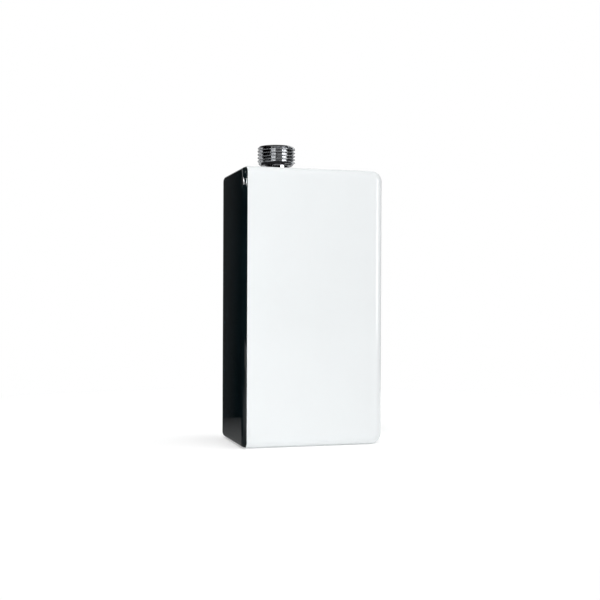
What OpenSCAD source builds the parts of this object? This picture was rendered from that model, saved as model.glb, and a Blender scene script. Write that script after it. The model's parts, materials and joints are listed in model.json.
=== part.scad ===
// In-line instant electric water heater: white housing, black end cover, threaded outlet on top.
// Frame: origin at the bottom centre, Z up, the large white face towards -Y, the black cover at -X.

/* [Housing] */
// Overall width, from the black cover's face to the closed end
body_w = 79; // [72:1:96]
// Overall depth, front to back
body_d = 53; // [51:1:70]
// Height of the housing without the outlet nipple
body_h = 150; // [146:1:180]
// Wall thickness of the housing
wall = 2.5; // [2:0.1:3]
// Fillet of the four long edges, which run along the width
edge_r = 4; // [3.5:0.25:6]
// Corner radius of the closed end, seen from the front
end_corner_r = 6; // [4:0.5:9]
// Fillet of the closed end's upright edges
end_edge_r = 4.5; // [3.5:0.25:6]

/* [End cover] */
// Thickness of the cover outside the housing
cover_rim = 2.5; // [2.3:0.1:3.5]
// How far the cover's outline lies inside the housing's outline
cover_inset = 0.5; // [0.2:0.1:1]
// Rounding of the cover's outer edge
cover_edge_r = 2.2; // [1:0.1:2.3]
// Depth of the cover's spigot inside the housing
spigot_depth = 5; // [4.5:0.5:7]
// Wall of the cover's spigot
spigot_wall = 1.8; // [1.6:0.1:2.2]
// Width and height of the gasket's section in the spigot's groove
gasket_w = 1.2; // [0.8:0.1:1.4]
// Length of the two hooks beyond the spigot, on the front side
hook_len = 4; // [3:0.5:5]
// Width of a hook along the height
hook_w = 12; // [8:1:16]
// How far a hook's lug reaches into the housing's front wall
hook_catch = 0.7; // [0.5:0.1:0.9]
// Height of the lower cover screw and hook above the bottom
cover_fix_low = 30; // [25:1:40]
// Height of the upper cover screw and hook above the bottom
cover_fix_high = 108; // [90:1:112]
// Distance of the cover screws from the mouth of the housing
cover_screw_in = 4.5; // [4:0.25:5]
// Shank diameter of a cover screw
cover_screw_d = 2.5; // [2:0.1:3]
// Head diameter of a cover screw
cover_head_d = 5.6; // [5:0.1:6]
// Head height of a cover screw
cover_head_h = 1.2; // [0.8:0.1:1.3]
// Length of a cover screw below its head
cover_screw_len = 6; // [4:0.5:6.5]
// Depth of the cover's screw bosses, front to back
cover_boss_depth = 6.8; // [6:0.1:7]
// Width of the cover's screw bosses along the height
cover_boss_w = 10; // [8:0.5:14]
// How far a screw boss reaches past its screw
cover_boss_out = 3.5; // [2.5:0.1:3.8]

/* [Water connections] */
// Distance of the water axis from the black cover's face
axis_from_cover = 25; // [25:0.5:28]
// Major diameter of the outlet's G 1/2 thread
outlet_thread_d = 20.955; // [16:0.005:26]
// Length of the outlet's thread
outlet_thread_len = 10.6; // [8:0.1:16]
// Chamfer at both ends of the outlet's thread
outlet_chamfer = 1; // [0.4:0.1:1.2]
// Diameter of the neck below the thread
neck_d = 14; // [13:0.1:15.4]
// Length of the neck above the housing
neck_len = 3.5; // [3:0.1:10]
// Bore of the outlet nipple
water_bore_d = 11; // [8:0.5:12]
// Crest diameter of the inlet's female G 1/2 thread
inlet_thread_d = 18.631; // [16:0.001:19]
// Depth of the inlet's thread
inlet_thread_len = 13; // [10:0.5:13.5]
// How far the inlet's mouth lies above the bottom face
inlet_recess = 0.3; // [0.1:0.1:1]
// Outer diameter of the inlet where it passes the bottom wall
inlet_collar_d = 26; // [24:0.5:28]
// Diameter of the inlet's flange
inlet_flange_d = 32; // [30:0.5:34]
// Thickness of the inlet's flange
inlet_flange_t = 4; // [3:0.5:5]
// Thickness of the flat seal under the flange
inlet_seal_t = 1.5; // [1:0.1:2]
// Diameter of the inlet's spigot
inlet_spigot_d = 24.6; // [24.2:0.1:25]
// Bore of the spigot above the thread
inlet_bore_d = 19.4; // [19:0.1:19.8]
// Length of the inlet's spigot above its flange
inlet_spigot_len = 11; // [10.5:0.5:16]
// Flange diameter of the outlet's grommet
grommet_d = 25.2; // [24:0.1:27]
// Lip thickness of the outlet's grommet
grommet_lip = 1.5; // [1:0.1:2]
// Overlap of the grommet's lips round the hole in the wall
grommet_lip_w = 2; // [1.2:0.1:2.2]

/* [Strainer and limiter] */
// Thickness of the strainer's flange
strainer_flange_t = 1.2; // [0.8:0.1:1.5]
// Diameter of the strainer's flange
strainer_flange_d = 19; // [18.8:0.1:19.2]
// Diameter of the strainer's basket
strainer_basket_d = 13.2; // [11:0.1:13.4]
// Length of the strainer's basket
strainer_basket_len = 4; // [3:0.5:7]
// Wall of the strainer's basket
strainer_wall = 0.8; // [0.6:0.1:1.2]
// Number of slots round the basket
strainer_slots = 12; // [8:1:16]
// Diameter of the flow limiter
limiter_d = 14.8; // [14.4:0.1:16]
// Thickness of the flow limiter
limiter_t = 4; // [3:0.5:5]
// Orifice of the flow limiter
limiter_orifice_d = 4.5; // [3:0.1:6]

/* [Flow switch] */
// Outer diameter of the upright flow switch body
flow_body_d = 29; // [26:0.5:31]
// Length of the flow switch body between the two sockets
flow_mid_len = 21; // [18:0.5:24]
// Throat diameter of the venturi
throat_d = 6; // [4:0.5:7]
// Length of the venturi's throat
throat_len = 4; // [3:0.5:5]
// How much wider the venturi's ends are than its throat
venturi_flare = 4; // [2:0.5:4.5]
// Bore from the throat to the diaphragm chamber
pressure_port_d = 2; // [1.2:0.1:2.6]
// Distance from the flow switch body's round side to the diaphragm
diaphragm_offset = 0.3; // [0.3:0.1:1.5]
// Diameter of the diaphragm and of its chamber's rim
diaphragm_d = 31; // [30:0.5:31]
// Thickness of the diaphragm
diaphragm_t = 1; // [0.8:0.1:1.5]
// Distance of the diaphragm's fold from the chamber wall
fold_in = 2.5; // [2:0.1:3.5]
// Inner diameter of the diaphragm chamber
chamber_bore_d = 24; // [20:0.5:24.5]
// Depth of the chamber on the water side
wet_depth = 4; // [3:0.5:4.5]
// Depth of the chamber on the plunger's side
dry_depth = 6; // [6:0.5:8]
// End wall of the flow switch cap
cap_wall = 1.5; // [1.5:0.1:2.5]
// Length of the plunger's guide beyond the cap
guide_len = 1.5; // [1.5:0.5:3]
// Wall of the plunger's guide
guide_wall = 2.5; // [1.5:0.1:3]
// Diameter of the plunger's rod
rod_d = 4; // [3:0.1:4.5]
// Length of the rod beyond its guide
rod_reach = 0.8; // [0.8:0.1:3]
// Diameter of the plunger's plate
plate_d = 15; // [11:0.5:18]
// Thickness of the plunger's plate
plate_t = 1.2; // [0.8:0.1:1.6]
// Travel of the plunger and of the switch button
plunger_travel = 1.5; // [1:0.1:1.8]
// Mean diameter of the return spring
spring_d = 8; // [7:0.5:10]
// Wire diameter of the return spring
spring_wire_d = 0.6; // [0.5:0.1:0.9]
// Turns of the return spring
spring_turns = 3; // [2.5:0.5:3.5]
// Shank diameter of the cap screws
cap_screw_d = 2; // [1.6:0.1:2.4]
// Head diameter of the cap screws
cap_head_d = 4; // [3.5:0.1:4.4]
// Depth of the cap screws in the flow switch body
cap_screw_in = 5; // [3:0.5:6]

/* [Microswitch] */
// Height of the microswitch case, away from the plunger
switch_h = 15.9; // [12:0.1:16.2]
// Length of the microswitch case, upright
switch_len = 27.8; // [24:0.1:30]
// Thickness of the microswitch case
switch_t = 10.3; // [8:0.1:11]
// Distance of the button from the case's lower end
switch_button_at = 17.9; // [8:0.1:19]
// Diameter of the button
switch_button_d = 3.2; // [2.4:0.1:4]
// How far the button stands out of the case at rest
switch_button_out = 1.8; // [1.8:0.1:2.4]
// Distance between the two mounting pins
switch_pin_pitch = 22.2; // [18:0.1:23]
// Diameter of the mounting pins
switch_pin_d = 3; // [2.4:0.1:3.4]
// Width of the rivet heads round the mounting pins
pin_head_w = 0.8; // [0.5:0.1:1.2]
// Thickness of the rivet heads
pin_head_t = 0.8; // [0.5:0.1:1.2]
// Sheet thickness of the bracket
bracket_t = 1; // [0.6:0.1:1.2]
// Width of the flat tabs
tab_w = 4.8; // [3:0.1:5]
// Thickness of the flat tabs
tab_t = 0.8; // [0.5:0.1:1]
// Length of the microswitch's tabs
switch_tab_len = 7; // [5:0.5:7.5]

/* [Heating chamber] */
// Outer diameter of the vessel
vessel_d = 36; // [35.5:0.1:36.5]
// Wall of the vessel
vessel_wall = 2; // [1.8:0.1:2]
// Thickness of the vessel's bottom
vessel_floor = 3; // [2:0.5:4]
// Diameter of the vessel's spigot in the flow switch
vessel_spigot_d = 17; // [16.5:0.1:17.5]
// Length of the vessel's spigot
vessel_spigot_len = 8; // [7:0.5:9]
// Diameter of the vessel's flange and of the lid
flange_d = 43; // [42.4:0.1:43.6]
// Thickness of the vessel's flange
flange_t = 4; // [3.5:0.5:5]
// Thickness of the lid
lid_t = 5; // [4:0.5:6]
// Free height above the lid, for the elements' terminals
head_room = 18.5; // [18:0.5:24]
// Diameter of the circle of lid screws
lid_screw_circle = 39.2; // [39:0.1:39.4]
// Shank diameter of the lid screws
lid_screw_d = 2.2; // [1.8:0.1:2.4]
// Head diameter of the lid screws
lid_head_d = 4; // [3.4:0.1:4.4]
// Head height of the small screws
small_head_h = 1.8; // [1.4:0.1:2.2]
// Section diameter of the O-rings
o_ring_d = 1.56; // [1.3:0.02:1.6]

/* [Heating elements] */
// Sheath diameter of a heating element
element_d = 6; // [5:0.1:6.2]
// Distance of the elements' legs from the water axis
leg_circle_r = 12; // [11.9:0.1:12.3]
// Gap under the elements' bends
bend_gap = 3; // [2:0.5:6]
// Height of the legs above the lid
leg_out = 7; // [5:0.5:7.5]
// Size across the flats of the elements' bushings
bushing_flats = 8; // [7.4:0.1:8.2]
// Height of the bushings
bushing_h = 4; // [3:0.5:4.5]
// Height of the ceramic insulators
insulator_h = 1.5; // [1:0.1:2]
// Diameter of the ceramic insulators
insulator_d = 5.6; // [4:0.1:5.8]
// Diameter of the terminal pins
terminal_pin_d = 2.6; // [2:0.1:3]
// Length of the terminals' flat tabs
terminal_tab_len = 6; // [5.5:0.5:6.5]
// Height of the strips that link the terminals
link_h = 4; // [3:0.5:4.5]

/* [Thermal cut-out] */
// Distance of the cut-out below the vessel's flange
cutout_drop = 11; // [11:0.5:18]
// Diameter of the cut-out
cutout_d = 16; // [14:0.5:17]
// Flat pad on the vessel, beyond its wall
pad_out = 1; // [0.6:0.1:1.5]
// Thickness of the metal cap
cutout_cap_t = 2.6; // [2.5:0.1:4]
// Thickness of the bracket
cutout_bracket_t = 0.8; // [0.6:0.1:1.2]
// Distance from the centre to each bracket screw
cutout_screw_at = 11; // [10.6:0.1:11.6]
// Length of the case
cutout_case_len = 7; // [7:0.5:9]
// Diameter of the reset button
reset_d = 4; // [3:0.1:5]
// How far the reset button stands out
reset_out = 2; // [1.8:0.1:2.4]
// Travel of the reset button
reset_travel = 1.5; // [1:0.1:1.7]
// How far the cut-out's tabs reach past its sides
cutout_tab_len = 4; // [4:0.5:6]
// How far the tabs reach in from the sides
cutout_tab_in = 2.5; // [2:0.1:2.8]
// Diameter of the bosses under the bracket
bracket_boss_d = 5.6; // [5:0.1:6.4]
// Shank diameter of the bracket's screws
bracket_screw_d = 2; // [1.6:0.1:2.4]
// Depth of the bracket's screws in their bosses
bracket_screw_in = 4; // [3:0.5:4.5]

/* [Terminals and wiring] */
// Length of the terminal block, upright
block_len = 27; // [27:0.5:30]
// Depth of the terminal block, front to back
block_depth = 21; // [16:0.5:22]
// Size of the terminal block along the width
block_h = 15; // [14:0.5:16]
// Distance between the poles
pole_pitch = 9; // [9:0.5:10]
// Diameter of the wire entries
entry_d = 4.4; // [3.6:0.1:5]
// Depth of the block's screws in their bosses
block_screw_in = 6.5; // [4:0.5:6.5]
// Diameter of the bosses
boss_d = 8; // [6:0.5:9]
// Diameter of the terminal screws' heads
terminal_screw_d = 4; // [3:0.1:4.4]
// Distance between the two screws of a pole
terminal_screw_pitch = 11; // [9:0.5:12]
// Diameter of the earth screw's shank
earth_shank_d = 3; // [2.4:0.1:3.4]
// Diameter of the earth lug's ring and of its boss
earth_lug_d = 7; // [6:0.1:8]
// Length of the earth lug's tail
earth_tail = 8.3; // [6:0.1:9]
// Insulated diameter of the leads
lead_d = 2.8; // [2:0.1:3]
// Centre line radius of the leads' bends
lead_bend_r = 2.6; // [2:0.1:2.8]
// Bore of the cable grommet
cable_d = 8; // [6:0.5:9]
// Hole for the cable grommet in the back wall
cable_hole_d = 13; // [12:0.5:14]
// Flange diameter of the cable grommet
cable_flange_d = 16.6; // [16:0.1:18]
// Depth of the flange's recess in the back wall
cable_recess = 1; // [0.5:0.1:1.2]
// Length of the grommet's sleeve inside the housing
cable_sleeve = 4.5; // [3:0.5:6]
// Wall of the grommet's sleeve
cable_sleeve_wall = 1.6; // [1.2:0.1:2]

/* [Fits] */
// Gap round pieces that slot together
fit_gap = 0.2; // [0.1:0.05:0.3]
// Radial gap of running and sealed round fits
run_gap = 0.05; // [0.03:0.01:0.08]
// Gap between the ends of leads and the terminals that they meet
end_gap = 0.3; // [0.2:0.05:0.4]

/* [Hidden] */
$fn = 96;

// Colours
white_plastic = "#f3f5f6";
black_gloss = "#0f1114";
rubber_black = "#1b1c1e";
bright_metal = "#c3c6ca";
brass_tone = "#c8a24c";
copper_tone = "#b8744a";
grey_plastic = "#8d9298";
switch_black = "#24262a";
ceramic_white = "#ece7da";
blue_lead = "#2f5fae";
brown_lead = "#6b4226";
green_lead = "#6f9a2e";
red_plastic = "#b8322a";
steel_tone = "#9da1a6";

// Cutters run this far past the faces they open
over = 1;
// Radial gap round a screw's shank in a clearance hole
shank_gap = 0.2;
// Least inner fillet that a thick wall leaves
least_r = 0.4;
// Land between a groove and the end of its spigot, and the free width beside an O-ring
land = 0.8;
// Places that leads run to are kept to hundredths of a millimetre
function hundredths(v) = round(100 * v) / 100;

// Housing places
half_w = body_w / 2;
half_d = body_d / 2;
mouth_x = cover_rim - half_w;
end_in_x = half_w - wall;
front_in_y = wall - half_d;
back_in_y = half_d - wall;
ceiling_z = body_h - wall;
inner_edge_r = max(edge_r - wall, least_r);
inner_corner_r = max(end_corner_r - wall, least_r);
inner_upright_r = max(end_edge_r - wall, least_r);

// Water column places
axis_x = axis_from_cover - half_w;
flange_z0 = wall + inlet_seal_t;
flange_z1 = flange_z0 + inlet_flange_t;
spigot_z1 = flange_z1 + inlet_spigot_len;
limiter_z1 = spigot_z1 + limiter_t;
vessel_spigot_z0 = spigot_z1 + flow_mid_len;
vessel_z0 = vessel_spigot_z0 + vessel_spigot_len;
lid_z1 = ceiling_z - head_room;
lid_z0 = lid_z1 - lid_t;
vessel_r = vessel_d / 2;
vessel_in_r = vessel_r - vessel_wall;
neck_r = neck_d / 2;
nipple_seat = 1;
nipple_z0 = lid_z0 + nipple_seat;
nipple_thread_z0 = body_h + neck_len;
nipple_z1 = nipple_thread_z0 + outlet_thread_len;
thread_z1 = inlet_recess + inlet_thread_len;
strainer_z1 = thread_z1 + strainer_flange_t;
grommet_hole_d = grommet_d - 2 * grommet_lip_w;
o_groove_w = o_ring_d + land;
o_groove_r = o_ring_d + run_gap;
inlet_groove_z = spigot_z1 - o_groove_w - land;
vessel_groove_z = vessel_z0 - vessel_spigot_len / 2;
chamber_seal_d = vessel_d - vessel_wall + 0.75 * land;

// Flow switch places
flow_z = vessel_z0 - diaphragm_d / 2 - end_gap - fit_gap;
diaphragm_x0 = axis_x + flow_body_d / 2 + diaphragm_offset;
diaphragm_x1 = diaphragm_x0 + diaphragm_t;
cap_in_x = diaphragm_x1 + dry_depth;
cap_x1 = cap_in_x + cap_wall;
guide_x1 = cap_x1 + guide_len;
plate_x0 = diaphragm_x1 + fit_gap;
plate_x1 = plate_x0 + plate_t;
rod_tip_x = guide_x1 + rod_reach;
button_x0 = rod_tip_x + run_gap;
case_x0 = button_x0 + switch_button_out;
case_x1 = case_x0 + switch_h;
case_z0 = flow_z - switch_button_at;
case_z1 = case_z0 + switch_len;
button_stem = 2.8;
button_hole_x1 = case_x0 + button_stem + plunger_travel + fit_gap;
rim_w = (diaphragm_d - chamber_bore_d) / 2;
cap_screw_r = (chamber_bore_d + rim_w) / 2;
switch_pin_low = case_z0 + (switch_len - switch_pin_pitch) / 2;
switch_pin_x = case_x0 + switch_h * 0.6;
switch_tab_x = [case_x0 + switch_h * 0.3, case_x0 + switch_h * 0.88];
side_y = switch_t / 2 + fit_gap / 2;
guide_d = rod_d + 2 * guide_wall;

// Heating element places
leg_xy = hundredths(leg_circle_r / sqrt(2));
bend_z = vessel_z0 + vessel_floor + bend_gap + leg_xy + element_d / 2;
leg_z1 = lid_z1 + leg_out;
insulator_z1 = leg_z1 + insulator_h;
terminal_z1 = insulator_z1 + terminal_tab_len;
link_z0 = insulator_z1 + tab_t + fit_gap;
link_y = leg_xy + tab_t / 2;

// Cut-out places
cutout_z = lid_z0 - flange_t - cutout_drop;
pad_x = axis_x + vessel_r + pad_out;
cutout_cap_x1 = pad_x + cutout_cap_t;
cutout_bracket_x1 = cutout_cap_x1 + cutout_bracket_t;
cutout_x1 = cutout_bracket_x1 + cutout_case_len;
cutout_tab_x = cutout_x1 + tab_t / 2;
cutout_tab_y0 = cutout_d / 2 - cutout_tab_in;
cutout_tab_y1 = cutout_d / 2 + cutout_tab_len;
reset_stem = 3.5;
reset_hole_len = reset_stem + reset_travel + end_gap;

// Terminal block places: in line with the cut-out's tabs, on bosses that reach to the closed end
entry_x = cutout_tab_x;
block_x0 = entry_x - block_h / 2;
block_x1 = entry_x + block_h / 2;
block_clear = 1.8;
block_z1 = cutout_z - cutout_d / 2 - block_clear;
block_z0 = block_z1 - block_len;
block_z = (block_z0 + block_z1) / 2;
cable_x = min(entry_x, end_in_x - inner_upright_r - cable_flange_d / 2 - fit_gap);
pole_z = [for (i = [-1 : 1]) block_z + i * pole_pitch];
block_screw_z = [for (s = [-1, 1]) block_z + s * pole_pitch / 2];
terminal_tip_x = entry_x - lead_d / 2 - run_gap;
terminal_sink = 1;
slot_w = 0.7;

// Lead places: two rows in front of the block and one behind it
lead_r = lead_d / 2;
lead_clear = 0.8;
lead_in = 4.5;
lead_start_y = lead_in - block_depth / 2;
tab_end_y = cutout_tab_y1 + end_gap;
row_y = hundredths(max(
    block_depth / 2 + lead_bend_r + lead_r + fit_gap,
    tab_end_y + lead_bend_r + fit_gap,
    cutout_screw_at + bracket_boss_d / 2 + lead_r + fit_gap
));
far_row_y = row_y + lead_d + lead_clear;
over_switch_z = case_z1 + switch_tab_len + 2 * lead_bend_r + end_gap;
link_lead_z = link_z0 + link_h / 2;
link_end_y = link_y + tab_t + end_gap;
right_leg_x = axis_x + leg_xy;

// Earth screw places
earth_z = (vessel_z0 + block_z0) / 2;
earth_boss_out = 3;
earth_boss_x = axis_x + vessel_r + earth_boss_out;
earth_lug_t = 0.8;
earth_lug_x = earth_boss_x + earth_lug_t / 2;
earth_tail_w = 4;
earth_screw_in = 3.5;

// Flat outlines, with exact arcs at the corners
module rounded_rect(w, h, r) {
    square([w - 2 * r, h], center = true);
    square([w, h - 2 * r], center = true);
    for (x = [-1, 1], y = [-1, 1]) translate([x * (w / 2 - r), y * (h / 2 - r)]) circle(r);
}

// Rectangle from x0 to x1 and y0 to y1 whose two corners at x1 are rounded
module round_end_rect(x0, x1, y0, y1, r) {
    side = sign(x1 - x0);
    translate([min(x0, x1 - side * r), y0]) square([abs(x1 - x0) - r, y1 - y0]);
    translate([min(x0, x1), y0 + r]) square([abs(x1 - x0), y1 - y0 - 2 * r]);
    for (y = [y0 + r, y1 - r]) translate([x1 - side * r, y]) circle(r);
}

// Prisms along the width, from an outline of depth and height, and along X from a circle
module along_x(x0, x1) {
    translate([x0, 0, 0]) rotate([90, 0, 90]) linear_extrude(x1 - x0) children();
}

module rod_x(x0, x1, y, z, d) {
    translate([x0, y, z]) rotate([0, 90, 0]) cylinder(h = x1 - x0, d = d);
}

module rod_y(y0, y1, x, z, d) {
    translate([x, y1, z]) rotate([90, 0, 0]) cylinder(h = y1 - y0, d = d);
}

module rod_z(z0, z1, x, y, d) {
    translate([x, y, z0]) cylinder(h = z1 - z0, d = d);
}

module box(x0, x1, y0, y1, z0, z1) {
    translate([x0, y0, z0]) cube([x1 - x0, y1 - y0, z1 - z0]);
}

// Block from x0 to x1 with filleted long edges, whose end at x1 has rounded corners and upright edges
module round_end_block(x0, x1, half_y, z0, z1, long_r, corner_r, upright_r) {
    low_x = min(x0, x1);
    high_x = max(x0, x1);
    intersection() {
        along_x(low_x, high_x) translate([0, (z0 + z1) / 2]) rounded_rect(2 * half_y, z1 - z0, long_r);
        translate([0, half_y, 0]) rotate([90, 0, 0]) linear_extrude(2 * half_y)
            round_end_rect(x0, x1, z0, z1, corner_r);
        translate([0, 0, z0]) linear_extrude(z1 - z0) round_end_rect(x0, x1, -half_y, half_y, upright_r);
    }
}

// Ring round the water axis
module water_ring(z0, z1, d_out, d_in) {
    difference() {
        rod_z(z0, z1, axis_x, 0, d_out);
        rod_z(z0 - over, z1 + over, axis_x, 0, d_in);
    }
}

module o_ring(z, mean_r) {
    translate([axis_x, 0, z]) rotate_extrude() translate([mean_r, 0]) circle(d = o_ring_d);
}

// O-ring that stands just proud of a spigot of diameter d
module spigot_o_ring(z, d) {
    o_ring(z, d / 2 + run_gap / 2 - o_ring_d / 2);
}

// Groove that holds an O-ring round a spigot of diameter d
module o_ring_groove(z, d) {
    water_ring(z - o_groove_w / 2, z + o_groove_w / 2, d + 2 * over, d - 2 * o_groove_r);
}

// Tub inside, less an even gap
module mouth_outline(gap) {
    translate([0, body_h / 2])
        rounded_rect(2 * (back_in_y - gap), body_h - 2 * (wall + gap), max(inner_edge_r - gap, least_r));
}

module housing_shell() {
    color(white_plastic) difference() {
        union() {
            difference() {
                round_end_block(mouth_x, half_w, half_d, 0, body_h, edge_r, end_corner_r, end_edge_r);
                round_end_block(mouth_x - over, end_in_x, back_in_y, wall, ceiling_z, inner_edge_r,
                    inner_corner_r, inner_upright_r);
            }
            for (z = block_screw_z) rod_x(block_x1, end_in_x + wall / 2, 0, z, boss_d);
        }
        rod_z(ceiling_z - over, body_h + over, axis_x, 0, grommet_hole_d + 2 * run_gap);
        rod_z(-over, wall + over, axis_x, 0, inlet_collar_d + 2 * fit_gap);
        rod_y(back_in_y - over, half_d + over, cable_x, block_z, cable_hole_d + 2 * run_gap);
        rod_y(half_d - cable_recess, half_d + over, cable_x, block_z, cable_flange_d + 2 * fit_gap);
        for (z = block_screw_z)
            rod_x(block_x1 - over, block_x1 + block_screw_in + end_gap, 0, z, lid_screw_d);
        for (z = [cover_fix_low, cover_fix_high]) {
            x = mouth_x + cover_screw_in;
            rod_y(back_in_y - over, half_d + over, x, z, cover_screw_d + 2 * shank_gap);
            rod_y(half_d - cover_head_h - fit_gap, half_d + over, x, z, cover_head_d + 2 * fit_gap);
            hook_x1 = mouth_x + spigot_depth + hook_len;
            box(hook_x1 - hook_len / 2 - fit_gap, hook_x1 + fit_gap, front_in_y - hook_catch - fit_gap,
                front_in_y + over, z - hook_w / 2 - fit_gap, z + hook_w / 2 + fit_gap);
        }
    }
}

module end_cover() {
    boss_in_y = back_in_y - fit_gap - cover_boss_depth;
    color(black_gloss) difference() {
        union() {
            round_end_block(mouth_x, -half_w, half_d - cover_inset, cover_inset, body_h - cover_inset,
                edge_r - cover_inset, cover_edge_r, cover_edge_r);
            along_x(mouth_x - cover_rim / 4, mouth_x + spigot_depth) difference() {
                mouth_outline(fit_gap);
                mouth_outline(fit_gap + spigot_wall);
            }
            for (z = [cover_fix_low, cover_fix_high]) {
                screw_x = mouth_x + cover_screw_in;
                box(mouth_x - cover_rim / 4, screw_x + cover_boss_out, boss_in_y, back_in_y - fit_gap,
                    z - cover_boss_w / 2, z + cover_boss_w / 2);
                hook_x1 = mouth_x + spigot_depth + hook_len;
                box(mouth_x, hook_x1, front_in_y + fit_gap, front_in_y + fit_gap + spigot_wall,
                    z - hook_w / 2, z + hook_w / 2);
                box(hook_x1 - hook_len / 2, hook_x1, front_in_y - hook_catch, front_in_y + fit_gap + over,
                    z - hook_w / 2, z + hook_w / 2);
            }
        }
        along_x(mouth_x + gasket_w, mouth_x + 2 * gasket_w + fit_gap) difference() {
            mouth_outline(-over);
            mouth_outline(fit_gap + gasket_w);
        }
        for (z = [cover_fix_low, cover_fix_high])
            rod_y(boss_in_y + wall / 4, half_d, mouth_x + cover_screw_in, z, cover_screw_d);
    }
}

module cover_gasket() {
    x0 = mouth_x + gasket_w + fit_gap / 2;
    color(rubber_black) along_x(x0, x0 + gasket_w) difference() {
        mouth_outline(run_gap);
        mouth_outline(fit_gap + gasket_w - run_gap);
    }
}

module cover_screws() {
    head_y0 = half_d - cover_head_h - fit_gap;
    color(steel_tone) for (z = [cover_fix_low, cover_fix_high]) difference() {
        union() {
            rod_y(head_y0, head_y0 + cover_head_h, mouth_x + cover_screw_in, z, cover_head_d);
            rod_y(head_y0 - cover_screw_len, head_y0, mouth_x + cover_screw_in, z, cover_screw_d);
        }
        for (turn = [0, 90]) translate([mouth_x + cover_screw_in, half_d - fit_gap, z]) rotate([0, turn, 0])
            cube([cover_head_d / 2, cover_head_h, cover_head_d / 7], center = true);
    }
}

module outlet_nipple() {
    thread_r = outlet_thread_d / 2;
    color(bright_metal) translate([axis_x, 0, 0]) rotate_extrude() polygon([
        [water_bore_d / 2, nipple_z0], [neck_r, nipple_z0], [neck_r, nipple_thread_z0],
        [thread_r - outlet_chamfer, nipple_thread_z0], [thread_r, nipple_thread_z0 + outlet_chamfer],
        [thread_r, nipple_z1 - outlet_chamfer], [thread_r - outlet_chamfer, nipple_z1],
        [water_bore_d / 2, nipple_z1]
    ]);
}

module outlet_grommet() {
    bore_r = neck_r + run_gap;
    color(rubber_black) translate([axis_x, 0, 0]) rotate_extrude() polygon([
        [bore_r, ceiling_z - grommet_lip], [grommet_d / 2, ceiling_z - grommet_lip],
        [grommet_d / 2, ceiling_z], [grommet_hole_d / 2, ceiling_z], [grommet_hole_d / 2, body_h],
        [grommet_d / 2, body_h], [grommet_d / 2 - grommet_lip / 2, body_h + grommet_lip],
        [bore_r, body_h + grommet_lip]
    ]);
}

module inlet_socket() {
    color(brass_tone) difference() {
        union() {
            rod_z(inlet_recess, flange_z0, axis_x, 0, inlet_collar_d);
            rod_z(flange_z0, flange_z1, axis_x, 0, inlet_flange_d);
            rod_z(flange_z1, spigot_z1, axis_x, 0, inlet_spigot_d);
        }
        rod_z(inlet_recess - over, thread_z1, axis_x, 0, inlet_thread_d);
        rod_z(thread_z1, spigot_z1 + over, axis_x, 0, inlet_bore_d);
        o_ring_groove(inlet_groove_z, inlet_spigot_d);
    }
}

module inlet_seal() {
    color(rubber_black) water_ring(wall, flange_z0, inlet_flange_d, inlet_collar_d + 2 * run_gap);
}

module inlet_strainer() {
    basket_z1 = strainer_z1 + strainer_basket_len;
    color(ceramic_white) difference() {
        union() {
            rod_z(thread_z1, strainer_z1, axis_x, 0, strainer_flange_d);
            rod_z(thread_z1, basket_z1, axis_x, 0, strainer_basket_d);
        }
        rod_z(thread_z1 - over, basket_z1 - strainer_wall, axis_x, 0, strainer_basket_d - 2 * strainer_wall);
        translate([axis_x, 0, 0]) for (i = [0 : strainer_slots - 1]) rotate([0, 0, i * 360 / strainer_slots])
            box(strainer_basket_d / 4, strainer_basket_d, -strainer_wall / 2, strainer_wall / 2,
                strainer_z1 + strainer_wall, basket_z1 - 2 * strainer_wall);
    }
}

module flow_limiter() {
    color(red_plastic) difference() {
        rod_z(spigot_z1, limiter_z1, axis_x, 0, limiter_d);
        rod_z(spigot_z1 - over, limiter_z1 + over, axis_x, 0, limiter_orifice_d);
        translate([axis_x, 0, spigot_z1])
            cylinder(h = limiter_t / 2, d1 = limiter_d * 0.7, d2 = limiter_orifice_d);
    }
}

module inlet_o_ring() {
    color(rubber_black) spigot_o_ring(inlet_groove_z, inlet_spigot_d);
}

module flow_switch_body() {
    wide_d = throat_d + venturi_flare;
    cup_x0 = diaphragm_x0 - wet_depth;
    color(grey_plastic) difference() {
        union() {
            rod_z(flange_z1, vessel_z0, axis_x, 0, flow_body_d);
            rod_x(axis_x, diaphragm_x0, 0, flow_z, diaphragm_d);
        }
        rod_z(flange_z1 - over, spigot_z1, axis_x, 0, inlet_spigot_d + 2 * run_gap);
        rod_z(spigot_z1 - over, limiter_z1, axis_x, 0, limiter_d + 2 * run_gap);
        translate([axis_x, 0, limiter_z1 - run_gap])
            cylinder(h = flow_z - throat_len / 2 - limiter_z1 + 2 * run_gap, d1 = wide_d, d2 = throat_d);
        rod_z(flow_z - throat_len / 2, flow_z + throat_len / 2, axis_x, 0, throat_d);
        translate([axis_x, 0, flow_z + throat_len / 2 - run_gap])
            cylinder(h = vessel_spigot_z0 - flow_z - throat_len / 2 + 2 * run_gap, d1 = throat_d,
                d2 = wide_d);
        rod_z(vessel_spigot_z0, vessel_z0 + over, axis_x, 0, vessel_spigot_d + 2 * run_gap);
        rod_x(cup_x0, diaphragm_x0 + over, 0, flow_z, chamber_bore_d);
        rod_x(axis_x, cup_x0 + over, 0, flow_z, pressure_port_d);
        cap_screw_holes(diaphragm_x0 - cap_screw_in - over, diaphragm_x0 + over, cap_screw_d);
    }
}

// Holes or shanks on the circle of cap screws
module cap_screw_holes(x0, x1, d) {
    for (a = [45 : 90 : 315]) rod_x(x0, x1, cap_screw_r * cos(a), flow_z + cap_screw_r * sin(a), d);
}

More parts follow.
